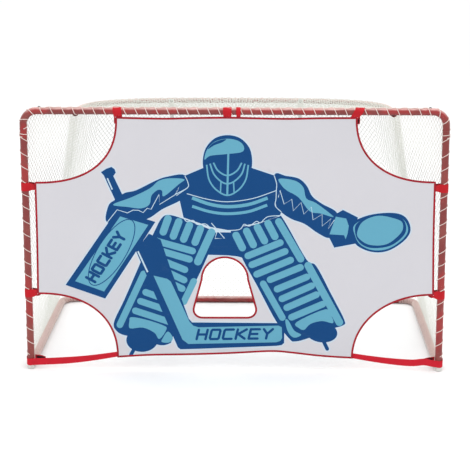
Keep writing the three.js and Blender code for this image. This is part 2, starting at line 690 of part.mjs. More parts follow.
// ---------- assembly ----------
crossbarSleeve();
baseRear();
shelfSleeve();
for (const side of [-1, 1]) {
  post(side);
  foot(side);
  topCorner(side);
  crossbarHalf(side);
  baseRail(side);
  shelfHalf(side);
  backStay(side);
  screws(side);
  sideNet(side);
  for (const [height, z] of Object.entries(SIDE_STRAPS)) {
    sideStrap(side, height, z);
  }
  lowStrap(side);
}
topNet();
backNet();
targetSheet();
for (const [name, x] of Object.entries(TOP_STRAPS)) {
  topStrap(`top_${name}`, x, STRAP_WIDTH);
}
topStrap('top_tie', TIE_X, TIE_WIDTH);
goal.position.y = -BOX_MIDDLE_Y;

export default goal;
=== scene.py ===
"""Looks of a steel-tube hockey goal: painted frame, laced net, printed target sheet and straps.

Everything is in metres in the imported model's frame: +X to the shooter's right, +Y from the
goal mouth to the back of the net, +Z up. Sizes that the frame already holds are read from it.
"""
import logging
from dataclasses import dataclass, field
from enum import Enum
from typing import Callable, Sequence

import bpy
import numpy as np
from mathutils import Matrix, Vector
from mathutils.geometry import delaunay_2d_cdt


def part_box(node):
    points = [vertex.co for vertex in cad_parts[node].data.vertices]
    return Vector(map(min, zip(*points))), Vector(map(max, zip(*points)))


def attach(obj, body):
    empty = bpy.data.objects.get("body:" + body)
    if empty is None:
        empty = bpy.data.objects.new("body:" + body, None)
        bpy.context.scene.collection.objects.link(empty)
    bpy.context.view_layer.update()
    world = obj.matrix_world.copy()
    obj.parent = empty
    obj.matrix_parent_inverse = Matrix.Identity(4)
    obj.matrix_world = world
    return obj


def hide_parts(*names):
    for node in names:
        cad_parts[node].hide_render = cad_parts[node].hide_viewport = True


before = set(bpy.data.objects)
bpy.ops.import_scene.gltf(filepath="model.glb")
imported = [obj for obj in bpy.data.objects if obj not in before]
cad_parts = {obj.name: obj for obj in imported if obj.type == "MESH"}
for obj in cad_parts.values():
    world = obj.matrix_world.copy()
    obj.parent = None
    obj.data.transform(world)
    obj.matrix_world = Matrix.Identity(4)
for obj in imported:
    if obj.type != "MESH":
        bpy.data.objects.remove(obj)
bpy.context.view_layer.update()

logging.basicConfig(level=logging.INFO, format="%(message)s")
log = logging.getLogger("hockey_goal")

MM = 0.001
FULL_TURN = 2 * np.pi
SIDES = ("left", "right")
SIGN = {"left": -1, "right": 1}


# ---------- shapes as arrays ----------
@dataclass
class Skin:
    """A mesh held as arrays, before it becomes a Blender object."""

    points: np.ndarray
    faces: list[np.ndarray]
    corner_uvs: list[np.ndarray]
    face_ink: np.ndarray | None = None

    def joined(self, *others: "Skin") -> "Skin":
        """This skin and the others as one mesh.

        Args:
            others: skins to add; their points are numbered after this one's.

        Returns:
            One skin that holds all the points and faces.
        """
        points, faces, uvs = [self.points], list(self.faces), list(self.corner_uvs)
        count = len(self.points)
        for other in others:
            points.append(other.points)
            faces.extend(block + count for block in other.faces)
            uvs.extend(other.corner_uvs)
            count += len(other.points)
        return Skin(np.concatenate(points), faces, uvs)


def unit(vectors: np.ndarray) -> np.ndarray:
    """The vectors, each divided by its own length."""
    return vectors / np.maximum(np.linalg.norm(vectors, axis=-1, keepdims=True), 1e-12)


def lengths_along(path: np.ndarray) -> np.ndarray:
    """Distance from the path's first point to each of its points."""
    steps = np.linalg.norm(np.diff(path, axis=0), axis=1)
    return np.concatenate([[0.0], np.cumsum(steps)])


def resampled(path: np.ndarray, count: int) -> np.ndarray:
    """The path again, with this many points at equal distances along it."""
    run = lengths_along(path)
    wanted = np.linspace(0, run[-1], count)
    return np.stack([np.interp(wanted, run, path[:, k]) for k in range(path.shape[1])], axis=1)


def smooth_through(points: Sequence[Sequence[float]], per_span: int = 12,
                   closed: bool = False) -> np.ndarray:
    """A smooth line through every point, in any number of dimensions.

    Each span is a cubic whose slope at a point is half the difference of that point's two
    neighbours, which is the Catmull-Rom rule.

    Args:
        points: the points, in order.
        per_span: points worked out on each span.
        closed: whether the line comes back to its first point.

    Returns:
        The line's points; a closed line doesn't repeat its first one.
    """
    p = np.asarray(points, float)
    if closed:
        p = np.concatenate([p[-1:], p, p[:2]])
    else:
        p = np.concatenate([2 * p[:1] - p[1:2], p, 2 * p[-1:] - p[-2:-1]])
    t = np.arange(per_span)[None, :, None] / per_span
    a, b, c, d = (p[k:len(p) - 3 + k, None, :] for k in range(4))
    line = 0.5 * (2 * b + (c - a) * t + (2 * a - 5 * b + 4 * c - d) * t ** 2
                  + (3 * b - a - 3 * c + d) * t ** 3)
    line = line.reshape(-1, p.shape[1])
    return line if closed else np.concatenate([line, p[-2:-1]])


def filleted(corners: Sequence[Sequence[float]], bend_r: float, steps: int = 14) -> np.ndarray:
    """Straight runs joined by round bends: each bend touches both runs and turns at bend_r.

    Args:
        corners: where the straight runs would meet.
        bend_r: radius of every bend.
        steps: points round each bend.

    Returns:
        The points of the run, close together in the bends.
    """
    c = np.asarray(corners, float)
    run = [c[:1]]
    for back, here, ahead in zip(c[:-2], c[1:-1], c[2:]):
        u, v = unit(back - here), unit(ahead - here)
        half = np.arccos(np.clip(u @ v, -1, 1)) / 2
        centre = here + unit(u + v) * bend_r / np.sin(half)
        first = here + u * bend_r / np.tan(half) - centre
        last = here + v * bend_r / np.tan(half) - centre
        share = np.linspace(0, 1, steps)[:, None]
        turn = np.arccos(np.clip(first @ last / bend_r ** 2, -1, 1))
        spoke = (np.sin((1 - share) * turn) * first + np.sin(share * turn) * last) / np.sin(turn)
        run.append(centre + spoke)
    run.append(c[-1:])
    return np.concatenate(run)


def circle(radius: float, count: int) -> np.ndarray:
    """A round section as (outward, sideways) pairs, counter-clockwise."""
    angle = np.arange(count) * FULL_TURN / count
    return radius * np.stack([np.cos(angle), np.sin(angle)], axis=1)


def band_section(width: float, thickness: float, across: int = 5) -> np.ndarray:
    """A flat webbing's section: a flattened superellipse, straight faced with round edges."""
    angle = np.arange(4 * across) * FULL_TURN / (4 * across) + FULL_TURN / (8 * across)
    c, s = np.cos(angle), np.sin(angle)
    out = np.sign(c) * np.abs(c) ** 0.35 * thickness / 2
    side = np.sign(s) * np.abs(s) ** 0.6 * width / 2
    return np.stack([out, side], axis=1)


def grid_skin(points: np.ndarray, wrap: bool = False, u: np.ndarray | None = None,
              v: np.ndarray | None = None) -> Skin:
    """Square faces over a grid of points.

    Args:
        points: an array of rows by columns by xyz. Faces look along column step x row step.
        wrap: whether the last column joins the first.
        u: a length for each row, for the piece's UV map.
        v: a length for each column, and one more where the columns wrap.

    Returns:
        The grid as a skin.
    """
    rows, cols = points.shape[:2]
    spans = cols if wrap else cols - 1
    u = np.arange(rows, dtype=float) if u is None else u
    v = np.arange(spans + 1, dtype=float) if v is None else v
    i, j = np.meshgrid(np.arange(rows - 1), np.arange(spans), indexing="ij")
    right = (j + 1) % cols
    corners = [i * cols + j, i * cols + right, (i + 1) * cols + right, (i + 1) * cols + j]
    faces = np.stack(corners, axis=-1).reshape(-1, 4)
    at = [(i, j), (i, j + 1), (i + 1, j + 1), (i + 1, j)]
    uvs = np.stack([np.stack([u[a], v[b]], axis=-1) for a, b in at], axis=2).reshape(-1, 4, 2)
    return Skin(points.reshape(-1, 3), [faces], [uvs])


def frames_along(path: np.ndarray, outward: np.ndarray, closed: bool = False
                 ) -> tuple[np.ndarray, np.ndarray]:
    """Square axes at each point of a path.

    Args:
        path: the path's points.
        outward: roughly the outward direction, one for all the points or one for each.
        closed: whether the path comes back to its first point.

    Returns:
        The outward and the sideways unit vectors, both square to the path.
    """
    if closed:
        tangent = unit(np.roll(path, -1, axis=0) - np.roll(path, 1, axis=0))
    else:
        tangent = unit(np.gradient(path, axis=0))
    side = unit(np.cross(tangent, np.broadcast_to(outward, path.shape)))
    return np.cross(side, tangent), side


def swept(path: np.ndarray, outward: np.ndarray, section: np.ndarray, closed: bool = False,
          scale: np.ndarray | None = None) -> Skin:
    """A section carried along a path, with flat ends where the path is open.

    Each point is the path's point plus the section's first number times the outward axis
    plus its second number times the sideways axis.

    Args:
        path: the path's points.
        outward: outward direction, one or one for each point.
        section: (outward, sideways) pairs, counter-clockwise.
        closed: whether the path comes back to its first point.
        scale: what to multiply the section by at each point, one number or a pair.

    Returns:
        The swept skin.
    """
    n, b = frames_along(path, outward, closed)
    pairs = np.broadcast_to(section[None], (len(path), *section.shape))
    if scale is not None:
        pairs = pairs * (scale[:, None, None] if scale.ndim == 1 else scale[:, None, :])
    points = path[:, None] + pairs[..., :1] * n[:, None] + pairs[..., 1:] * b[:, None]
    if closed:
        path, points = np.concatenate([path, path[:1]]), np.concatenate([points, points[:1]])
    round_it = lengths_along(np.concatenate([section, section[:1]]))
    skin = grid_skin(points, True, lengths_along(path), round_it)
    if closed:
        rows, cols = points.shape[:2]
        skin.faces[0] %= (rows - 1) * cols
        skin.points = skin.points[:-cols]
        return skin
    ring, last = np.arange(len(section)), (len(path) - 1) * len(section)
    skin.faces += [ring[None, ::-1], ring[None] + last]
    skin.corner_uvs += [section[None, ::-1], section[None]]
    return skin


def pipe(path: np.ndarray, outward: Sequence[float], outer: np.ndarray | float,
         bore: np.ndarray | float, sides: int = 32) -> Skin:
    """A hollow tube: an outer wall, a bore that faces inwards, and a flat ring at each end.

    Args:
        path: the tube's axis.
        outward: a direction square to the axis.
        outer: outer radius, one or one for each point.
        bore: bore radius, the same.
        sides: faces round the tube.

    Returns:
        The tube's skin.
    """
    n, b = frames_along(path, np.asarray(outward, float))
    ones = circle(1.0, sides)
    spokes = ones[None, :, :1] * n[:, None] + ones[None, :, 1:] * b[:, None]
    radii = [np.broadcast_to(np.asarray(r, float), len(path))[:, None, None]
             for r in (outer, bore)]
    walls = [path[:, None] + r * spokes for r in radii]
    # out along the bore's first ring, along the outer wall, and back down the bore
    loop = np.concatenate([walls[0], walls[1][::-1], walls[0][:1]])
    rows, cols = loop.shape[:2]
    run = lengths_along(loop[:, 0])
    skin = grid_skin(loop, True, run, np.linspace(0, FULL_TURN * np.max(outer), sides + 1))
    skin.faces[0] %= (rows - 1) * cols
    skin.points = skin.points[:-cols]
    return skin


def square_to(axis: np.ndarray) -> np.ndarray:
    """A unit vector square to this one, made with whichever of X and Y it leans away from."""
    helper = np.array([1.0, 0, 0]) if abs(axis[0]) < 0.9 else np.array([0, 1.0, 0])
    return unit(np.cross(axis, helper))


def turned(profile: Sequence[Sequence[float]], centre: Sequence[float],
           axis: Sequence[float], sides: int = 32) -> Skin:
    """A solid of revolution, from a pole on its axis round to the other pole.

    Each ring is the centre plus a height along the axis plus a radius times a turning spoke.

    Args:
        profile: (radius, height) pairs; the first and last lie on the axis.
        centre: where height 0 is.
        axis: direction of the axis.
        sides: faces round the solid.

    Returns:
        The solid's skin, closed at both poles.
    """
    p = np.asarray(profile, float)
    t = unit(np.asarray(axis, float))
    b = square_to(t)
    n = np.cross(b, t)
    spokes = circle(1.0, sides) @ np.stack([n, b])
    inner = p[1:-1]
    rings = inner[:, None, 1:] * t + inner[:, None, :1] * spokes[None] + np.asarray(centre)
    skin = grid_skin(rings, True, lengths_along(inner), np.linspace(0, 1, sides + 1))
    poles = np.asarray(centre) + p[[0, -1], 1:] * t
    count, ring = len(skin.points), np.arange(sides)
    step = (ring + 1) % sides
    last = (len(inner) - 1) * sides
    low = np.stack([step, ring, np.full(sides, count)], axis=1)
    high = np.stack([ring + last, step + last, np.full(sides, count + 1)], axis=1)
    skin.points = np.concatenate([skin.points, poles])
    skin.faces += [low, high]
    skin.corner_uvs += [np.zeros((sides, 3, 2)), np.zeros((sides, 3, 2))]
    return skin


def made(name: str, skin: Skin, material: bpy.types.Material, body: str = "goal",
         stands_for: Sequence[str] = (), crease: float = 35.0) -> bpy.types.Object:
    """A Blender object from a skin, dressed and riding on its body.

    Args:
        name: the piece's name.
        skin: its mesh.
        material: its finish.
        body: the body that it moves with.
        stands_for: CAD nodes that it replaces.
        crease: edges sharper than this many degrees stay sharp.

    Returns:
        The new object.
    """
    mesh = bpy.data.meshes.new(name)
    faces = [face for block in skin.faces for face in block.tolist()]
    mesh.from_pydata(skin.points.tolist(), [], faces)
    uv = mesh.uv_layers.new(name="along")
    flat = np.concatenate([block.reshape(-1, 2) for block in skin.corner_uvs])
    uv.data.foreach_set("uv", flat.astype(np.float32).ravel())
    if skin.face_ink is not None:
        ink = mesh.color_attributes.new(name="ink", type="FLOAT_COLOR", domain="CORNER")
        corners = np.repeat(skin.face_ink, 3, axis=0)
        ink.data.foreach_set("color", corners.astype(np.float32).ravel())
    mesh.update()
    mesh.shade_smooth()
    mesh.set_sharp_from_angle(angle=np.radians(crease))
    mesh.materials.append(material)
    obj = bpy.data.objects.new(name, mesh)
    bpy.context.scene.collection.objects.link(obj)
    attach(obj, body)
    if stands_for:
        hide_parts(*stands_for)
    log.info("%s: %d faces", name, len(faces))
    return obj


# ---------- shader recipes ----------
class Signal:
    """A shader socket that takes part in sums, as a number would."""

    def __init__(self, recipe: "Recipe", socket: bpy.types.NodeSocket) -> None:
        """Keeps the socket and the recipe that new nodes go into."""
        self.recipe = recipe
        self.socket = socket

    def _math(self, operation: str, *values: "Signal | float", clamp: bool = False) -> "Signal":
        """One Math node over these values."""
        return self.recipe.node("ShaderNodeMath", {"operation": operation, "use_clamp": clamp},
                                dict(enumerate(values)))

    def __add__(self, other: "Signal | float") -> "Signal":
        """Sum."""
        return self._math("ADD", self, other)

    __radd__ = __add__

    def __sub__(self, other: "Signal | float") -> "Signal":
        """Difference."""
        return self._math("SUBTRACT", self, other)

    def __rsub__(self, other: float) -> "Signal":
        """Difference, from a number."""
        return self._math("SUBTRACT", other, self)

    def __mul__(self, other: "Signal | float") -> "Signal":
        """Product."""
        return self._math("MULTIPLY", self, other)

    __rmul__ = __mul__

    def __gt__(self, other: "Signal | float") -> "Signal":
        """1 where this is greater, else 0."""
        return self._math("GREATER_THAN", self, other)

    def __lt__(self, other: "Signal | float") -> "Signal":
        """1 where this is less, else 0."""
        return self._math("LESS_THAN", self, other)

    def __abs__(self) -> "Signal":
        """Size without its sign."""
        return self._math("ABSOLUTE", self)

    def sine(self) -> "Signal":
        """Sine of this, in radians."""
        return self._math("SINE", self)

    def repeat(self, length: float) -> "Signal":
        """This, started again from 0 at every such length."""
        return self._math("FLOORED_MODULO", self, length)

    def limited(self) -> "Signal":
        """This, kept between 0 and 1."""
        return self._math("ADD", self, 0.0, clamp=True)


class Recipe:
    """Builds one material's nodes round a Principled shader."""

    def __init__(self, name: str, **constants: float | tuple[float, ...]) -> None:
        """Starts the material and sets its shader's own sockets.

        Args:
            name: the material's name.
            constants: socket values, with _ for the space in a socket's name.
        """
        self.material = bpy.data.materials.new(name)
        self.material.use_nodes = True
        self.tree = self.material.node_tree
        self.shader = self.tree.nodes["Principled BSDF"]
        for socket, value in constants.items():
            self.shader.inputs[socket.replace("_", " ")].default_value = value

    def node(self, kind: str, settings: dict[str, object], inputs: dict[int | str, object],
             out: int | str = 0) -> Signal:
        """Adds one node.

        Args:
            kind: the node's type.
            settings: its own settings, set first; "stops" fills a colour ramp.
            inputs: a value or a Signal for each socket.
            out: the output to hand back.

        Returns:
            The chosen output.
        """
        node = self.tree.nodes.new(kind)
        for key, value in settings.items():
            if key == "stops":
                ramp = node.color_ramp.elements
                for place, colour in value[len(ramp):]:
                    ramp.new(place)
                for stop, (place, colour) in zip(ramp, value):
                    stop.position = place
                    stop.color = (*colour, 1.0)
            else:
                setattr(node, key, value)
        for key, value in inputs.items():
            if isinstance(value, Signal):
                self.tree.links.new(value.socket, node.inputs[key])
            else:
                node.inputs[key].default_value = value
        return Signal(self, node.outputs[out])

    def place(self) -> Signal:
        """Object coordinates, in metres."""
        return self.node("ShaderNodeTexCoord", {}, {}, "Object")

    def uv(self) -> tuple[Signal, Signal]:
        """The piece's own map: length along it and length across it."""
        joint = self.node("ShaderNodeUVMap", {"uv_map": "along"}, {})
        return self.axis(joint, "X"), self.axis(joint, "Y")

    def axis(self, vector: Signal, letter: str) -> Signal:
        """One number of a vector."""
        return self.node("ShaderNodeSeparateXYZ", {}, {0: vector}, letter)

    def noise(self, vector: Signal, scale: float, detail: float = 3.0,
              stretch: tuple[float, float, float] | None = None) -> Signal:
        """Soft noise about 0.5, at this many features to the metre."""
        if stretch is not None:
            vector = self.node("ShaderNodeMapping", {}, {"Vector": vector, "Scale": stretch})
        return self.node("ShaderNodeTexNoise", {}, {"Vector": vector, "Scale": scale,
                                                     "Detail": detail, "Roughness": 0.55})

    def blend(self, share: Signal | float, first: object, second: object,
              mode: str = "MIX") -> Signal:
        """Two colours mixed by a share."""
        settings = {"data_type": "RGBA", "blend_type": mode}
        first, second = (c if isinstance(c, Signal) else (*c, 1.0) for c in (first, second))
        return self.node("ShaderNodeMix", settings, {0: share, 6: first, 7: second}, 2)

    def ramp(self, share: Signal, *stops: tuple[float, tuple[float, float, float]]) -> Signal:
        """A colour ramp with these stops."""
        return self.node("ShaderNodeValToRGB", {"stops": stops}, {0: share})

    def steep(self, value: Signal, low: float, high: float) -> Signal:
        """0 below low, 1 above high, and smooth between them."""
        return self.node("ShaderNodeMapRange", {"interpolation_type": "SMOOTHSTEP"},
                         {"Value": value, "From Min": low, "From Max": high})

    def finish(self, colour: Signal, roughness: Signal | None = None,
               height: Signal | None = None, lift: float = MM, strength: float = 0.5,
               ) -> bpy.types.Material:
        """Links what varies to the shader.

        Args:
            colour: to Base Color.
            roughness: to Roughness.
            height: to a Bump node that feeds Normal.
            lift: the bump's height, in metres.
            strength: the bump's strength.

        Returns:
            The finished material.
        """
        self.tree.links.new(colour.socket, self.shader.inputs["Base Color"])
        if roughness is not None:
            self.tree.links.new(roughness.socket, self.shader.inputs["Roughness"])
        if height is not None:
            bump = self.node("ShaderNodeBump", {}, {"Strength": strength, "Distance": lift,
                                                     "Height": height})
            self.tree.links.new(bump.socket, self.shader.inputs["Normal"])
        return self.material


Colour = tuple[float, float, float]


def linear(red: int, green: int, blue: int) -> Colour:
    """A display colour, from 0 to 255, as the linear light that shaders use."""
    share = np.array([red, green, blue]) / 255
    light = np.where(share < 0.04045, share / 12.92, ((share + 0.055) / 1.055) ** 2.4)
    return tuple(float(x) for x in light)


@dataclass(frozen=True)
class PaintedSteel:
    """Thin red enamel on steel tube: dull and chalky, with brighter patches and fine scuffs;
    faces that look up get a painted highlight and faces that look down get painted shade."""

    dull: Colour = linear(122, 28, 26)
    chalky: Colour = linear(138, 62, 54)
    bright: Colour = linear(156, 10, 14)
    bare: Colour = linear(176, 140, 130)
    # pale pink of the painted highlight on faces that look up
    painted_top_highlight: Colour = linear(220, 180, 174)
    # dark red of the painted shade on faces that look down
    painted_underside_shade: Colour = linear(92, 24, 22)

    def material(self) -> bpy.types.Material:
        """The finish as a material."""
        r = Recipe("red_enamel", Specular_IOR_Level=0.5, Coat_Weight=0.25, Coat_Roughness=0.2)
        place = r.place()
        cloudy = r.steep(r.noise(place, 9.0), 0.42, 0.66)
        patches = r.steep(r.noise(place, 5.0, 2.0), 0.5, 0.58)
        colour = r.blend(cloudy * 0.7, self.dull, self.chalky)
        colour = r.blend(patches * 0.75, colour, self.bright)
        # Painted highlight: faces that look up are mixed towards a pale pink, in place of light from
        # above on the enamel.
        facing = r.axis(r.node("ShaderNodeNewGeometry", {}, {}, "Normal"), "Z")
        # This noise only breaks up the painted top highlight.
        patch_tone = r.steep(r.noise(place, 7.0, 3.0), 0.44, 0.6)
        painted_top_highlight = r.steep(facing + 0.5 * (r.noise(place, 40.0) - 0.5), 0.25, 0.95) * (0.75 + 0.25 * patch_tone)
        # Painted shade: faces that look down are mixed towards a darker red.
        under = r.steep(facing, 0.0, -0.8)
        colour = r.blend(0.85 * painted_top_highlight, colour, self.painted_top_highlight)
        colour = r.blend(0.55 * under, colour, self.painted_underside_shade)
        scuffs = r.steep(r.noise(place, 60.0, 4.0, (1.0, 1.0, 0.2)), 0.66, 0.74)
        chips = r.steep(r.noise(place, 210.0, 2.0), 0.7, 0.74)
        colour = r.blend((scuffs * 0.35 + chips * 0.5).limited(), colour, self.bare)
        rough = 0.34 + 0.22 * cloudy + 0.25 * scuffs
        peel = r.noise(place, 420.0, 2.0) - 0.6 * chips
        return r.finish(colour, rough, peel, 0.3 * MM, 0.25)


@dataclass(frozen=True)
class Twine:
    """Braided synthetic cord, near white, a little grey where its strands turn under."""

    name: str
    light: Colour
    shade: Colour
    lay: float = 900.0

    def material(self) -> bpy.types.Material:
        """The finish as a material."""
        r = Recipe(self.name, Specular_IOR_Level=0.2)
        place = r.place()
        strands = r.noise(place, self.lay, 2.0, (1.0, 1.0, 0.6))
        age = r.noise(place, 5.0)
        colour = r.blend((0.6 * strands + 0.5 * age).limited(), self.shade, self.light)
        return r.finish(colour, 0.75 + 0.2 * age, strands, 0.5 * MM, 0.6)


@dataclass(frozen=True)
class PrintedCloth:
    """Coated polyester cloth: its print is in the mesh, its weave and handling marks here."""

    thread: float = 0.9 * MM
    grime: Colour = linear(176, 172, 178)

    def material(self) -> bpy.types.Material:
        """The finish as a material."""
        r = Recipe("printed_cloth", Specular_IOR_Level=0.12)
        place = r.place()
        ink = r.node("ShaderNodeVertexColor", {"layer_name": "ink"}, {})
        across, up = r.axis(place, "X"), r.axis(place, "Z")
        warp = (across * (FULL_TURN / self.thread)).sine()
        weft = (up * (FULL_TURN / self.thread)).sine()
        weave = warp * weft
        mottle = r.noise(place, 4.0, 4.0)
        marks = r.steep(r.noise(place, 13.0, 5.0, (1.0, 1.0, 2.5)), 0.6, 0.8)
        colour = r.blend(0.10 * mottle, ink, self.grime, "MULTIPLY")
        colour = r.blend(0.03 * marks, colour, self.grime)
        colour = r.blend(0.012 * (0.5 * weave + 0.5), colour, (1.0, 1.0, 1.0))
        rough = 0.62 + 0.2 * mottle
        return r.finish(colour, rough, weave + 2.0 * mottle, 0.18 * MM, 0.35)


@dataclass(frozen=True)
class Webbing:
    """Woven nylon webbing with ribs across it and stitching where it is sewn down."""

    name: str
    light: Colour
    dark: Colour
    thread: Colour
    sewn: float = 0.0
    rib: float = 1.9 * MM

    def material(self) -> bpy.types.Material:
        """The finish as a material."""
        r = Recipe(self.name, Specular_IOR_Level=0.25)
        run, over = r.uv()
        place = r.place()
        ribs = (run * (FULL_TURN / self.rib)).sine()
        cross = (over * (FULL_TURN / (0.8 * self.rib))).sine()
        weave = 0.6 * ribs * cross + 0.4 * ribs
        fade = r.noise(place, 30.0)
        colour = r.blend((0.25 * weave + fade).limited(), self.dark, self.light)
        stitch = (run.repeat(4.2 * MM) < 2.9 * MM) * (run < self.sewn)
        lane = abs(over.repeat(9.0 * MM) - 4.5 * MM) < 0.45 * MM
        seam = stitch * lane
        colour = r.blend(0.8 * seam, colour, self.thread)
        return r.finish(colour, 0.55 + 0.25 * fade, weave - 1.5 * seam, 0.35 * MM, 0.6)


@dataclass(frozen=True)
class HookTape:
    """Black hook tape: close rows of stiff little hooks that catch the light a little."""

    colour: Colour = linear(26, 25, 28)
    glint: Colour = linear(92, 90, 96)

    def material(self) -> bpy.types.Material:
        """The finish as a material."""
        r = Recipe("hook_tape", Specular_IOR_Level=0.3)
        place = r.place()
        hooks = r.node("ShaderNodeTexVoronoi", {"feature": "F1"},
                       {"Vector": place, "Scale": 620.0}, "Distance")
        tips = r.steep(hooks, 0.35, 0.1)
        colour = r.blend(0.5 * tips, self.colour, self.glint)
        return r.finish(colour, 0.85 - 0.3 * tips, tips, 0.8 * MM, 0.8)


@dataclass(frozen=True)
class Moulded:
    """Moulded plastic or coated metal in one hue, with fine grain, dust and rubbed wear."""

    name: str
    colour: Colour
    patch_tone: Colour
    roughness: float
    metal: float = 0.0
    grain: float = 500.0

    def material(self) -> bpy.types.Material:
        """The finish as a material."""
        r = Recipe(self.name, Metallic=self.metal)
        place = r.place()
        grain = r.noise(place, self.grain, 2.0)
        wear = r.steep(r.noise(place, 70.0, 4.0), 0.5, 0.75)
        colour = r.blend(0.6 * wear, self.colour, self.patch_tone)
        return r.finish(colour, self.roughness + 0.25 * wear, grain, 0.2 * MM, 0.35)


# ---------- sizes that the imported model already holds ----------
@dataclass
class Layout:
    """Places of the frame's axes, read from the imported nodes."""

    tube_r: float = 0.0
    post_x: float = 0.0
    mouth_y: float = 0.0
    bar_z: float = 0.0
    base_z: float = 0.0
    rear_y: float = 0.0
    rear_joint_x: float = 0.0
    shelf_r: float = 0.0
    shelf_z: float = 0.0
    shelf_half: float = 0.0
    shelf_back: float = 0.0
    foot_top: float = 0.0
    corner_leg: float = 0.0
    corner_reach: float = 0.0
    spigot: float = 24 * MM
    sleeve_r: float = 14.1 * MM
    sleeve_bore: float = 12.6 * MM

    def __post_init__(self) -> None:
        """Measures the nodes."""
        foot = self.middle("left_foot")
        bar = self.middle("crossbar_sleeve")
        rear_low, rear_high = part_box("base_rear_bar")
        shelf_low, shelf_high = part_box("top_shelf_left")
        corner_low, corner_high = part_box("left_top_corner")
        self.tube_r = (rear_high.z - rear_low.z) / 2
        self.post_x, self.mouth_y = -foot.x, foot.y
        self.bar_z = bar.z
        self.base_z = (rear_low.z + rear_high.z) / 2
        self.rear_y = (rear_low.y + rear_high.y) / 2
        self.rear_joint_x = rear_high.x
        self.shelf_r = (shelf_high.z - shelf_low.z) / 2
        self.shelf_z = (shelf_high.z + shelf_low.z) / 2
        self.shelf_half = -shelf_low.x - self.shelf_r
        self.shelf_back = self.middle("top_shelf_sleeve").y
        self.foot_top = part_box("left_post")[0].z
        self.corner_leg = corner_low.z
        self.corner_reach = -corner_high.x

    @staticmethod
    def middle(node: str) -> Vector:
        """Middle of a node's box."""
        low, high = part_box(node)
        return (low + high) / 2

    def shelf_outline(self, half: float, front: float, back: float, count: int) -> np.ndarray:
        """The shelf's plan from its left end round to its right end.

        It follows |x / half|^n + |(y - front) / (back - front)|^n = 1, a superellipse.

        Args:
            half: half its width.
            front: y of its ends.
            back: y of its rearmost point.
            count: how many points.

        Returns:
            Points as x and y, at equal distances.
        """
        roundness = 3.3
        angle = np.linspace(np.pi, 0, 40 * count)
        c, s = np.cos(angle), np.sin(angle)
        x = half * np.sign(c) * np.abs(c) ** (2 / roundness)
        y = front + (back - front) * np.abs(s) ** (2 / roundness)
        return resampled(np.stack([x, y], axis=1), count)


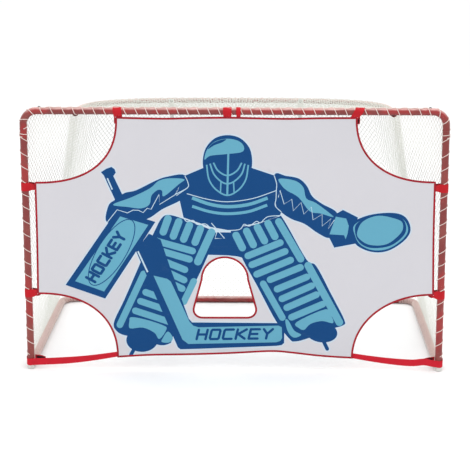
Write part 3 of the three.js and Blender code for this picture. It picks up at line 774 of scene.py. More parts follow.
# ---------- painted frame ----------
@dataclass
class TubeFrame:
    """Posts, corners, crossbar, base, shelf, stays, plastic feet and screws."""

    at: Layout
    wall: float = 1.5 * MM
    corner_bend: float = 60 * MM
    rear_bend: float = 80 * MM
    bead: float = 0.9 * MM
    bead_length: float = 7 * MM
    stay_x: float = 300 * MM
    stay_r: float = 9.5 * MM
    screw_r: float = 6 * MM
    screw_head: float = 4.2 * MM
    paint: bpy.types.Material = field(default_factory=lambda: PaintedSteel().material())

    def tube(self, name: str, path: np.ndarray, outward: Sequence[float],
             beads: tuple[bool, bool] = (False, False), *extras: Skin) -> None:
        """One painted tube, with a rolled bead at the ends that take the next tube.

        Args:
            name: the CAD node that it stands for.
            path: its axis.
            outward: a direction square to the axis.
            beads: whether its first and last ends are rolled.
            extras: parts welded to it.
        """
        run = lengths_along(path)
        ends = np.array([0, 1, 3, 5, 6, 8]) * self.bead_length / 7
        wanted = np.unique(np.concatenate([run, ends, run[-1] - ends]))
        wanted = wanted[np.concatenate([[True], np.diff(wanted) > 1e-5])]
        path = np.stack([np.interp(wanted, run, path[:, k]) for k in range(3)], axis=1)
        radius = np.full(len(path), self.at.tube_r)
        for rolled, distance in zip(beads, (wanted, wanted[-1] - wanted)):
            if rolled:
                share = np.clip(distance / self.bead_length, 0, 1)
                radius += self.bead * np.sin(np.pi * share) ** 0.7
        skin = pipe(path, outward, radius, self.at.tube_r - self.wall)
        made(name, skin.joined(*extras), self.paint, stands_for=[name])

    def spigot(self, start: Sequence[float], end: Sequence[float],
               outward: Sequence[float]) -> Skin:
        """The narrower pipe that is welded into a tube's end and enters the next tube."""
        path = np.linspace(start, end, 6)
        radius = self.at.sleeve_r - np.array([0, 0, 0, 0, 0, 0.8]) * MM
        return pipe(path, outward, radius, self.at.sleeve_bore, 24)

    def uprights(self, side: str) -> None:
        """A post, its top corner and its plastic foot."""
        at, x = self.at, SIGN[side] * self.at.post_x
        low, high = np.array([x, at.mouth_y, at.foot_top]), np.array([x, at.mouth_y, at.corner_leg])
        post = np.linspace(low, high - [0, 0, 0.4 * MM], 40)
        joint = high + [0, 0, at.spigot]
        back = np.array([x, at.mouth_y, at.base_z])
        stub = self.spigot(back + [0, 14 * MM, 0], back + [0, 60 * MM, 0], (0, 0, 1))
        self.tube(f"{side}_post", post, (0, -1, 0), (False, False),
                  self.spigot(high - [0, 0, 20 * MM], joint, (0, -1, 0)), stub)
        top = np.array([x, at.mouth_y, at.bar_z])
        end = np.array([SIGN[side] * at.corner_reach, at.mouth_y, at.bar_z])
        bend = filleted([high, top, end], self.corner_bend, 20)
        self.tube(f"{side}_top_corner", bend, (0, -1, 0), (True, True))
        r, lip = at.tube_r + 0.6 * MM, at.foot_top
        profile = [(0, 0), (r - 2.6 * MM, 0), (r - 1.2 * MM, 0.5 * MM), (r - 0.2 * MM, 1.6 * MM),
                   (r, 2.6 * MM), (r, lip - 1.0 * MM), (r - 0.6 * MM, lip - 0.3 * MM),
                   (at.tube_r - self.wall - 0.3 * MM, lip - 0.3 * MM),
                   (at.tube_r - self.wall - 0.3 * MM, 19 * MM), (0, 19 * MM)]
        # the plug's skirt goes round the front of the post and stops short of the rail
        angle = np.radians(np.linspace(-188, 8, 40))
        spoke = np.stack([np.cos(angle), np.sin(angle), 0 * angle], axis=1)
        skirt = swept(np.array([x, at.mouth_y, 12.5 * MM]) + (at.tube_r + 0.7 * MM) * spoke, spoke,
                      band_section(21 * MM, 1.3 * MM, 6))
        plastic = Moulded(f"grey_plastic_{side}", linear(206, 206, 201), linear(160, 157, 150), 0.5)
        made(f"{side}_foot", turned(profile, (x, at.mouth_y, 0), (0, 0, 1), 40).joined(skirt),
             plastic.material(), stands_for=[f"{side}_foot"])

    def crossbar(self, side: str) -> None:
        """Half the crossbar with the welded cup that takes the shelf."""
        at, s = self.at, SIGN[side]
        start = np.array([s * 0.3 * MM, at.mouth_y, at.bar_z])
        end = np.array([s * (at.corner_reach - 0.4 * MM), at.mouth_y, at.bar_z])
        cup_y = np.array([8, 30, 54, 55]) * MM + at.mouth_y
        cup = np.stack([np.full(4, s * at.shelf_half), cup_y, np.full(4, at.shelf_z)], axis=1)
        socket = pipe(cup, (0, 0, 1), at.shelf_r + np.array([2.8, 2.8, 2.8, 2.2]) * MM,
                      at.shelf_r + 0.8 * MM, 24)
        joint = self.spigot(end - [s * 20 * MM, 0, 0], end + [s * at.spigot, 0, 0], (0, -1, 0))
        self.tube(f"crossbar_{side}", np.linspace(start, end, 60), (0, -1, 0),
                  (True, False), socket, joint)

    def rail(self, side: str) -> None:
        """A base rail, coped at its front end: each point there moves forward to the post's
        round wall, which stands sqrt(r^2 - x^2) behind the post's axis."""
        at, x = self.at, SIGN[side] * self.at.post_x
        front = at.mouth_y + at.tube_r + 1.5 * MM
        corners = [(x, front, at.base_z), (x, at.rear_y, at.base_z),
                   (SIGN[side] * (at.rear_joint_x + 0.3 * MM), at.rear_y, at.base_z)]
        collar = np.array([0, 2, 6, 10]) * MM
        path = np.stack([np.full(4, x), front - 1.2 * MM + collar, np.full(4, at.base_z)], axis=1)
        weld = pipe(path, (0, 0, 1), at.tube_r + np.array([0.2, 1.2, 0.9, 0.0]) * MM,
                    at.tube_r - self.wall, 32)
        mouth = weld.points[:, 1] < front - 1.1 * MM
        aside = np.clip(np.abs(weld.points[mouth, 0] - x), 0, at.tube_r)
        saddle = np.maximum(np.sqrt(at.tube_r ** 2 - aside ** 2), 4.4 * MM)
        weld.points[mouth, 1] = at.mouth_y + saddle
        self.tube(f"base_{side}_rail", filleted(corners, self.rear_bend, 22), (0, 0, 1),
                  (False, True), weld)

    def rear(self) -> None:
        """The rear bar between the two rails."""
        at = self.at
        ends = [np.array([s * (at.rear_joint_x - 0.1 * MM), at.rear_y, at.base_z]) for s in (-1, 1)]
        self.tube("base_rear_bar", np.linspace(*ends, 80), (0, 0, 1), (True, True))

    def shelf(self) -> None:
        """Both halves of the bent shelf tube."""
        at = self.at
        front = at.mouth_y + 18 * MM
        plan = at.shelf_outline(at.shelf_half, front, at.shelf_back, 181)
        path = np.column_stack([plan, np.full(len(plan), at.shelf_z)])
        half = len(path) // 2
        for side, run in (("left", path[:half + 1]), ("right", path[half:][::-1])):
            radius = np.full(len(run), at.shelf_r)
            radius[-5:] += np.array([0, 0.6, 0.8, 0.6, 0.2]) * MM
            skin = pipe(run, (0, 0, 1), radius, at.shelf_r - 1.2 * MM, 24)
            name = f"top_shelf_{side}"
            made(name, skin, self.paint, stands_for=[name])

    def stay(self, side: str) -> None:
        """A back stay: round along its length, pressed flat at its two screwed ends."""
        at, x = self.at, SIGN[side] * self.stay_x
        low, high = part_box(f"back_stay_{side}")
        top_y, foot_y = low.y + 7.7 * MM, high.y - 8.2 * MM
        bends = [(top_y, high.z), (top_y, high.z - 36 * MM), (foot_y, low.z + 44 * MM),
                 (foot_y, low.z)]
        line = resampled(filleted(bends, 40 * MM, 12), 110)
        path = np.column_stack([np.full(len(line), x), line])
        run = lengths_along(path)
        near = np.minimum(run, run[-1] - run)
        flat = 1 - np.clip((near - 38 * MM) / (30 * MM), 0, 1)
        flat = flat * flat * (3 - 2 * flat)
        thick = self.stay_r * (1 - flat) + 1.6 * MM * flat
        wide = self.stay_r * (1 - flat) + 12.5 * MM * flat
        skin = swept(path, np.array([0, 1.0, 0]), circle(1.0, 24),
                     scale=np.stack([thick, wide], axis=1))
        name = f"back_stay_{side}"
        coat = Moulded(f"white_enamel_{side}", linear(232, 232, 227), linear(206, 204, 198), 0.4)
        made(name, skin, coat.material(), stands_for=[name])

    def screws(self) -> None:
        """Domed screws with a cross recess, each standing where its node's head is."""
        steel = Moulded("black_oxide", linear(38, 38, 42), linear(92, 90, 90), 0.35, 0.5, 900.0)
        coat = steel.material()
        heads = {"corner": (0, 0, 1), "post": (0, 1, 0), "shelf": (0, 0, 1), "rail": (0, 0, 1),
                 "stay_top": (0, -1, 0), "stay_foot": (0, -1, 0)}
        for side in SIDES:
            for place, axis in heads.items():
                name = f"{side}_{place}_screw"
                low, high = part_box(name)
                t = np.array(axis, float)
                middle = (np.array(low) + np.array(high)) / 2
                reach = (np.array(high) - np.array(low)) @ np.abs(t) / 2
                seat = middle + t * (reach - self.screw_head)
                r = self.screw_r
                dome = [(0.72 * r, 0.85), (0.5 * r, 0.96), (0.3 * r, 1.0), (0, 1.0)]
                profile = [(0, -6 * MM), (r / 2, -6 * MM), (r / 2, 0), (r, 0),
                           (r, 0.3 * self.screw_head), (0.93 * r, 0.55 * self.screw_head)]
                profile += [(radius, h * self.screw_head) for radius, h in dome]
                skin = turned(profile, seat, axis, 32)
                self.recess(skin, seat, t)
                made(name, skin, coat, stands_for=[name], crease=28)

    def recess(self, skin: Skin, seat: np.ndarray, axis: np.ndarray) -> None:
        """Sinks a cross into a screw's dome.

        A point near the axis goes down where it lies within either arm of the cross.

        Args:
            skin: the screw, changed in place.
            seat: where the head starts.
            axis: out of the head.
        """
        away = skin.points - seat
        height = away @ axis
        flat = away - height[:, None] * axis
        first = square_to(axis)
        second = np.cross(axis, first)
        a, b = np.abs(flat @ first), np.abs(flat @ second)
        inside = (np.minimum(a, b) < 0.7 * MM) & (np.maximum(a, b) < 0.55 * self.screw_r)
        inside &= height > 0.8 * self.screw_head
        skin.points[inside] -= 1.5 * MM * axis

    def sleeves(self) -> None:
        """Dresses the inner sleeves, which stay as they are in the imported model."""
        bare = Moulded("bare_steel", linear(150, 150, 154), linear(110, 108, 106), 0.3, 1.0, 700.0)
        coat = bare.material()
        for name in ("crossbar_sleeve", "base_left_sleeve", "base_right_sleeve",
                     "top_shelf_sleeve"):
            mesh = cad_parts[name].data
            mesh.materials.clear()
            mesh.materials.append(coat)

    def build(self) -> None:
        """Makes every piece of the frame."""
        for side in SIDES:
            self.uprights(side)
            self.crossbar(side)
            self.rail(side)
            self.stay(side)
        self.rear()
        self.shelf()
        self.screws()
        self.sleeves()


# ---------- net ----------
Picker = Callable[[np.ndarray], np.ndarray]
Surface = Callable[[np.ndarray, np.ndarray], np.ndarray]


@dataclass
class Netting:
    """A knotted diamond net in four panels, laced to the tubes.

    A panel is a surface of two shares, u across and v up. Knots stand in rows, each row
    half a mesh aside from the next, and a strand steps half a mesh sideways with every row
    and turns back at the panel's edge, so its column is a triangle wave of its row.
    """

    at: Layout
    twine_r: float = 1.15 * MM
    knot_r: float = 2.3 * MM
    slack: float = 5 * MM
    clear: float = 3.4 * MM
    seed: int = 11

    def __post_init__(self) -> None:
        """Starts the dice and mixes the twine's finish."""
        self.dice = np.random.default_rng(self.seed)
        self.coat = Twine("net_twine", linear(240, 241, 236), linear(216, 219, 210)).material()
        self.top_coat = Twine("top_net_twine", linear(224, 226, 218), linear(192, 196, 186)).material()

    def panel(self, name: str, surface: Surface,
              columns: int, rows: int) -> None:
        """Makes one panel.

        Args:
            name: the CAD node that it stands for.
            surface: gives points for arrays of u and v.
            columns: meshes across.
            rows: half meshes up.
        """
        row = np.arange(rows + 1)
        start = np.arange(columns)
        climb = 0.5 * row[None]
        rising = start[:, None] + climb
        falling = start[:, None] + 1 - climb
        column = np.concatenate([rising, falling])
        column = np.abs((column + columns) % (2 * columns) - columns)
        u = column / columns
        v = np.broadcast_to(row / rows, u.shape)
        cells = (4 * columns + 2, rows + 2)
        jitter = self.dice.normal(0, 0.6 * MM, (*cells, 3))
        key = np.clip(np.round(column * 2).astype(int), 0, cells[0] - 1)
        knots = surface(u, v) + jitter[key, np.broadcast_to(row, u.shape)]
        along = unit(np.gradient(knots, axis=1))
        normal = self.normal(surface, u, v)
        side = unit(np.cross(along, normal))
        out = np.cross(side, along)
        over = np.where(np.arange(len(column)) < columns, 0.5, -0.5)[:, None, None] * self.twine_r
        corners = circle(self.twine_r, 3)
        rings = (knots + over * normal)[:, :, None] + corners[:, :1] * out[:, :, None] \
            + corners[:, 1:] * side[:, :, None]
        strands, count, ring = rings.shape[:3]
        i, j, k = np.meshgrid(np.arange(strands), np.arange(count - 1), np.arange(ring),
                              indexing="ij")
        here, there = (i * count + j) * ring, (i * count + j + 1) * ring
        turn = (k + 1) % ring
        faces = np.stack([here + k, here + turn, there + turn, there + k],
                         axis=-1).reshape(-1, 4)
        first = np.arange(strands)[:, None] * count * ring + np.arange(ring)
        last = first + (count - 1) * ring
        net = Skin(rings.reshape(-1, 3), [faces, first[:, ::-1], last],
                   [np.zeros((len(faces), 4, 2)), np.zeros((strands, 3, 2)),
                    np.zeros((strands, 3, 2))])
        net = net.joined(self.knots(surface, jitter, columns, rows))
        coat = self.top_coat if name == "net_top" else self.coat
        made(name, net, coat, stands_for=[name], crease=80)

    def knots(self, surface: Surface,
              jitter: np.ndarray, columns: int, rows: int) -> Skin:
        """An eight-sided knot where strands cross, as six points round each crossing."""
        row, slot = np.meshgrid(np.arange(1, rows), np.arange(columns), indexing="ij")
        column = slot + 0.5 * (row % 2)
        keep = (column > 0) & (column < columns)
        row, column = row[keep], column[keep]
        u, v = column / columns, row / rows
        centre = surface(u, v) + jitter[np.round(column * 2).astype(int), row]
        normal = self.normal(surface, u, v)
        step = 1e-3
        up = unit(surface(u, v + step) - surface(u, v - step))
        side = np.cross(up, normal)
        r = self.knot_r
        arms = np.stack([side * r, -side * r, normal * 0.9 * r, -normal * 0.9 * r,
                         up * 1.25 * r, -up * 1.25 * r], axis=1)
        points = centre[:, None] + arms
        shape = np.array([[0, 2, 4], [2, 1, 4], [1, 3, 4], [3, 0, 4],
                          [2, 0, 5], [1, 2, 5], [3, 1, 5], [0, 3, 5]])[:, ::-1]
        faces = (np.arange(len(points))[:, None, None] * 6 + shape).reshape(-1, 3)
        return Skin(points.reshape(-1, 3), [faces], [np.zeros((len(faces), 3, 2))])

    @staticmethod
    def normal(surface: Surface,
               u: np.ndarray, v: np.ndarray) -> np.ndarray:
        """The surface's unit normal, from two small steps across it."""
        step = 1e-3
        across = surface(u + step, v) - surface(u - step, v)
        up = surface(u, v + step) - surface(u, v - step)
        return unit(np.cross(across, up))

    @staticmethod
    def picker(line: np.ndarray) -> Picker:
        """A function that gives the line's point at each share of its length."""
        run = lengths_along(line)
        return lambda share: np.stack(
            [np.interp(np.clip(share, 0, 1) * run[-1], run, line[:, k]) for k in range(3)], axis=-1)

    def edges(self) -> tuple[np.ndarray, np.ndarray]:
        """Lines that the net hangs between, on the right-hand half, from the mouth to the
        middle of the back.

        Returns:
            The upper line, behind the top corner, the crossbar and round the shelf, and the
            lower line, round the outside of the base.
        """
        at = self.at
        out, y = at.tube_r + self.clear, at.mouth_y + 25 * MM
        plan = at.shelf_outline(at.shelf_half + at.shelf_r + self.clear, at.mouth_y + 30 * MM,
                                at.shelf_back + at.shelf_r + self.clear, 241)[120:][::-1]
        shelf = np.column_stack([plan, np.full(len(plan), at.shelf_z)])
        head = [(at.post_x + 6 * MM, y, at.bar_z - 70 * MM), (at.post_x - 16 * MM, y, at.bar_z - 14 * MM),
                (at.post_x - 80 * MM, y, at.bar_z), (at.shelf_half + 60 * MM, y, at.bar_z),
                (at.shelf_half + 26 * MM, y + 12 * MM, at.bar_z - 4 * MM)]
        upper = self.eased(np.concatenate([head, shelf[12:]]))
        bend = 80 * MM
        x, z = at.post_x + out, at.base_z - 2 * MM
        lower = filleted([(x, y, z), (x, at.rear_y + out, z), (0, at.rear_y + out, z)], bend + out, 24)
        return upper, resampled(lower, 400)

    @staticmethod
    def eased(line: np.ndarray) -> np.ndarray:
        """The line at 400 even points, each averaged with its neighbours to round its turns."""
        even = resampled(line, 400)
        reach = 7
        padded = np.concatenate([np.repeat(even[:1], reach, 0), even, np.repeat(even[-1:], reach, 0)])
        kernel = np.hanning(2 * reach + 3)[1:-1]
        kernel /= kernel.sum()
        return np.stack([np.convolve(padded[:, k], kernel, "valid") for k in range(3)], axis=1)

    def build(self) -> None:
        """Makes the four panels."""
        at = self.at
        upper, lower = self.edges()
        seam_low, seam_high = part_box("net_back")
        split_top = int(np.argmax(upper[:, 1] > seam_low.y))
        split_low = int(np.argmax(lower[:, 0] < seam_high.x))
        for side in SIDES:
            flip = np.array([SIGN[side], 1, 1])
            top = self.picker(upper[:split_top + 1] * flip)
            low = self.picker(lower[:split_low + 1] * flip)

            def wall(u: np.ndarray, v: np.ndarray, top: Picker = top, low: Picker = low,
                     s: int = SIGN[side]) -> np.ndarray:
                """The side net, sagging inwards between its edges."""
                share = u if s > 0 else 1 - u
                point = low(share) * (1 - v)[..., None] + top(share) * v[..., None]
                sag = self.slack * np.sin(np.pi * np.clip(v, 0, 1)) * np.clip(share * 4, 0, 1)
                point[..., 0] -= s * sag
                return point

            self.panel(f"net_{side}", wall, 40, 80)
        mirror = np.array([-1, 1, 1])
        top = self.picker(np.concatenate([upper[split_top:] * mirror, upper[split_top:][::-1]]))
        low = self.picker(np.concatenate([lower[split_low:] * mirror, lower[split_low:][::-1]]))

        def back(u: np.ndarray, v: np.ndarray) -> np.ndarray:
            """The back net, from the left seam to the right one as seen from behind."""
            point = low(1 - u) * (1 - v)[..., None] + top(1 - u) * v[..., None]
            point[..., 2] -= 2 * self.slack * np.sin(np.pi * np.clip(v, 0, 1))
            return point

        self.panel("net_back", back, 68, 94)
        front = at.mouth_y + 25 * MM
        plan = at.shelf_outline(at.shelf_half - 6 * MM, front, at.shelf_back + 3 * MM, 241)
        z = at.shelf_z + at.shelf_r + 1.6 * MM
        rim = self.picker(np.column_stack([plan, np.full(len(plan), z)]))
        inner = np.column_stack([np.linspace(-0.93, 0.93, 241) * at.shelf_half,
                                 np.full(241, front), np.full(241, z)])
        hem = self.picker(inner)

        def lid(u: np.ndarray, v: np.ndarray) -> np.ndarray:
            """The top net, from the crossbar back to the shelf tube, dipping in the middle."""
            point = hem(u) * (1 - v)[..., None] + rim(u) * v[..., None]
            point[..., 2] -= 1.2 * MM * np.sin(np.pi * np.clip(v, 0, 1)) * np.sin(np.pi * u)
            return point

        self.panel("net_top", lid, 60, 24)


# ---------- lacing ----------
@dataclass
class Lacing:
    """White cord wound round the tubes, which holds the net's edges to them."""

    at: Layout
    cord_r: float = 1.7 * MM
    bar_pitch: float = 46 * MM
    post_pitch: float = 62 * MM
    base_pitch: float = 8.5 * MM
    shelf_pitch: float = 11 * MM

    def wound(self, name: str, path: np.ndarray, outward: Sequence[float], radius: float,
              pitch: float, hand: int, gaps: Sequence[tuple[float, float]] = ()) -> None:
        """One cord wound round a tube.

        The cord's point is the tube's axis plus the radius times a spoke that turns once in
        each pitch; under a strap the radius dips so that the webbing lies over the cord, and
        no point is lower than the floor lets the cord lie.

        Args:
            name: the piece's name.
            path: the tube's axis.
            outward: a direction square to the axis, where the turns start.
            radius: from the tube's axis to the cord's.
            pitch: length of tube to a turn.
            hand: 1 or -1, the way that it turns.
            gaps: middle and half width of each strap along the tube.
        """
        run = lengths_along(path)
        count = int(run[-1] / pitch * 22) + 2
        even = resampled(path, count)
        travel = np.linspace(0, run[-1], count)
        n, b = frames_along(even, np.asarray(outward, float))
        wobble = 0.35 * np.sin(travel * 17.0) + 0.25 * np.sin(travel * 41.0 + 1.0)
        turn = hand * (travel / pitch * FULL_TURN + wobble)
        reach = np.full(count, radius)
        for middle, half in gaps:
            reach -= 1.1 * MM * (np.abs(travel - middle) < half + 4 * MM)
        spoke = np.cos(turn)[:, None] * n + np.sin(turn)[:, None] * b
        cord = even + reach[:, None] * spoke
        cord[:, 2] = np.maximum(cord[:, 2], self.cord_r)
        skin = swept(cord, spoke, circle(self.cord_r, 6))
        made(name, skin, self.coat, crease=80)

    def build(self, strap_x: Sequence[float], strap_z: Sequence[float], strap_half: float) -> None:
        """Winds every cord.

        Args:
            strap_x: middles of the crossbar's straps.
            strap_z: middles of each post's straps.
            strap_half: half a strap's width.
        """
        self.coat = Twine("lacing_cord", linear(236, 222, 216), linear(212, 186, 178)).material()
        at = self.at
        reach = at.tube_r + self.cord_r - 0.2 * MM
        bar = filleted([(-at.post_x, at.mouth_y, at.corner_leg + 6 * MM),
                        (-at.post_x, at.mouth_y, at.bar_z), (at.post_x, at.mouth_y, at.bar_z),
                        (at.post_x, at.mouth_y, at.corner_leg + 6 * MM)], 60 * MM, 16)
        half_run = lengths_along(bar)[-1] / 2
        gaps = [(half_run + x, strap_half) for x in strap_x]
        self.wound("lacing_crossbar", bar, (0, -1, 0), reach, self.bar_pitch, 1, gaps)
        for side in SIDES:
            s = SIGN[side]
            post = np.linspace([s * at.post_x, at.mouth_y, 70 * MM],
                               [s * at.post_x, at.mouth_y, at.corner_leg - 4 * MM], 60)
            gaps = [(z - 70 * MM, strap_half) for z in strap_z]
            self.wound(f"lacing_{side}_post", post, (0, -1, 0), reach, self.post_pitch, s, gaps)
            x = s * at.post_x
            knot = np.linspace([x, at.mouth_y, at.corner_leg - 30 * MM],
                               [x, at.mouth_y, at.corner_leg - 9 * MM], 12)
            self.wound(f"lacing_{side}_knot", knot, (0, -1, 0), reach, 13 * MM, s)
            base = filleted([(x, at.mouth_y + 60 * MM, at.base_z), (x, at.rear_y, at.base_z),
                             (0, at.rear_y, at.base_z)], 80 * MM, 22)
            self.wound(f"lacing_{side}_base", base[:-1], (0, 0, 1),
                       at.tube_r + 0.2 * MM, self.base_pitch, s)
        x = np.linspace(-0.86, 0.86, 520)
        lean = np.radians(72) + 0.16 * np.sin(137 * x) + 0.12 * np.sin(61 * x)
        rope = np.column_stack([x, at.mouth_y - reach * np.cos(lean), at.bar_z + reach * np.sin(lean)])
        made("net_head_rope", swept(rope, np.array([0, 0, 1.0]), circle(self.cord_r, 6)), self.coat,
             crease=80)
        plan = at.shelf_outline(at.shelf_half, at.mouth_y + 18 * MM, at.shelf_back, 241)[10:-10]
        shelf = np.column_stack([plan, np.full(len(plan), at.shelf_z)])
        self.wound("lacing_shelf", shelf, (0, 0, 1), at.shelf_r + 0.4 * MM,
                   self.shelf_pitch, 1)


# ---------- target sheet ----------
class Ink(Enum):
    """Colours of the sheet and its print."""

    CLOTH = linear(206, 205, 210)
    HALO = linear(196, 212, 225)
    NAVY = linear(0, 66, 122)
    SKY = linear(98, 165, 189)
    PALE = linear(188, 212, 226)


Outline = np.ndarray


def capsule(first: Sequence[float], last: Sequence[float], width: float,
            taper: float = 1.0) -> Outline:
    """A roll with round ends: two half circles round its end points, joined by straight sides."""
    a, b = np.asarray(first, float), np.asarray(last, float)
    ahead = unit(b - a)
    side = np.array([-ahead[1], ahead[0]])
    turn = np.linspace(-np.pi / 2, np.pi / 2, 9)[:, None]
    r = width / 2
    end = b + taper * r * (np.cos(turn) * ahead + np.sin(turn) * side)
    start = a + r * (-np.cos(turn) * ahead - np.sin(turn) * side)
    return np.concatenate([end, start])


def oval(centre: Sequence[float], radii: Sequence[float], tilt: float = 0.0,
         power: float = 2.0) -> Outline:
    """A superellipse: |x / rx|^p + |z / rz|^p = 1, turned by tilt degrees."""
    angle = np.arange(40) * FULL_TURN / 40
    c, s = np.cos(angle), np.sin(angle)
    x = radii[0] * np.sign(c) * np.abs(c) ** (2 / power)
    z = radii[1] * np.sign(s) * np.abs(s) ** (2 / power)
    t = np.radians(tilt)
    return np.stack([x * np.cos(t) - z * np.sin(t), x * np.sin(t) + z * np.cos(t)], axis=1) + centre


def blob(points: Sequence[Sequence[float]], per_span: int = 5) -> Outline:
    """A closed smooth outline through these points."""
    return smooth_through(points, per_span, closed=True)


def plain(points: Sequence[Sequence[float]]) -> Outline:
    """A closed outline with straight sides."""
    return np.asarray(points, float)


def stroke(points: Sequence[Sequence[float]], width: float, per_span: int = 6,
           straight: bool = False) -> Outline:
    """A line of even width: the smooth or straight line through the points, moved half the
    width to each side."""
    line = np.asarray(points, float) if straight else smooth_through(points, per_span)
    ahead = unit(np.gradient(line, axis=0))
    side = np.stack([-ahead[:, 1], ahead[:, 0]], axis=1) * width / 2
    return np.concatenate([line + side, (line - side)[::-1]])


def grown(outline: Outline, by: float) -> Outline:
    """The outline moved outwards by the same distance all round."""
    after, before = np.roll(outline, -1, axis=0), np.roll(outline, 1, axis=0)
    ahead = unit(after - before)
    area = 0.5 * np.sum(outline[:, 0] * after[:, 1] - after[:, 0] * outline[:, 1])
    return outline + np.sign(area) * by * np.stack([ahead[:, 1], -ahead[:, 0]], axis=1)


LETTERS = {
    "H": [[(0, 0), (0, 1)], [(1, 0), (1, 1)], [(0, 0.5), (1, 0.5)]],
    "O": [[(0.1, 0), (0, 0.12), (0, 0.88), (0.1, 1), (0.9, 1), (1, 0.88), (1, 0.12), (0.9, 0),
           (0.1, 0)]],
    "C": [[(1, 0), (0.1, 0), (0, 0.12), (0, 0.88), (0.1, 1), (1, 1)]],
    "K": [[(0, 0), (0, 1)], [(1, 1), (0.15, 0.5), (1, 0)]],
    "E": [[(1, 0), (0, 0), (0, 1), (1, 1)], [(0, 0.5), (0.85, 0.5)]],
    "Y": [[(0, 1), (0.5, 0.5), (1, 1)], [(0.5, 0.5), (0.5, 0)]],
}


def lettering(word: str, start: Sequence[float], ahead: Sequence[float], up: Sequence[float],
              advance: float, height: float) -> list[Outline]:
    """A plain word in thick strokes, leaning as its up direction does.

    Args:
        word: capital letters.
        start: foot of the first letter.
        ahead: the way that the word runs.
        up: the way that the letters stand.
        advance: from one letter to the next.
        height: of the letters.

    Returns:
        An outline for each stroke.
    """
    cell = np.array([np.array(ahead) * 0.68 * advance, np.array(up) * height])
    places = [np.array(line) @ cell + start + k * advance * np.array(ahead)
              for k, letter in enumerate(word) for line in LETTERS[letter]]
    return [capsule(a, b, 0.26 * height) for line in places for a, b in zip(line[:-1], line[1:])]


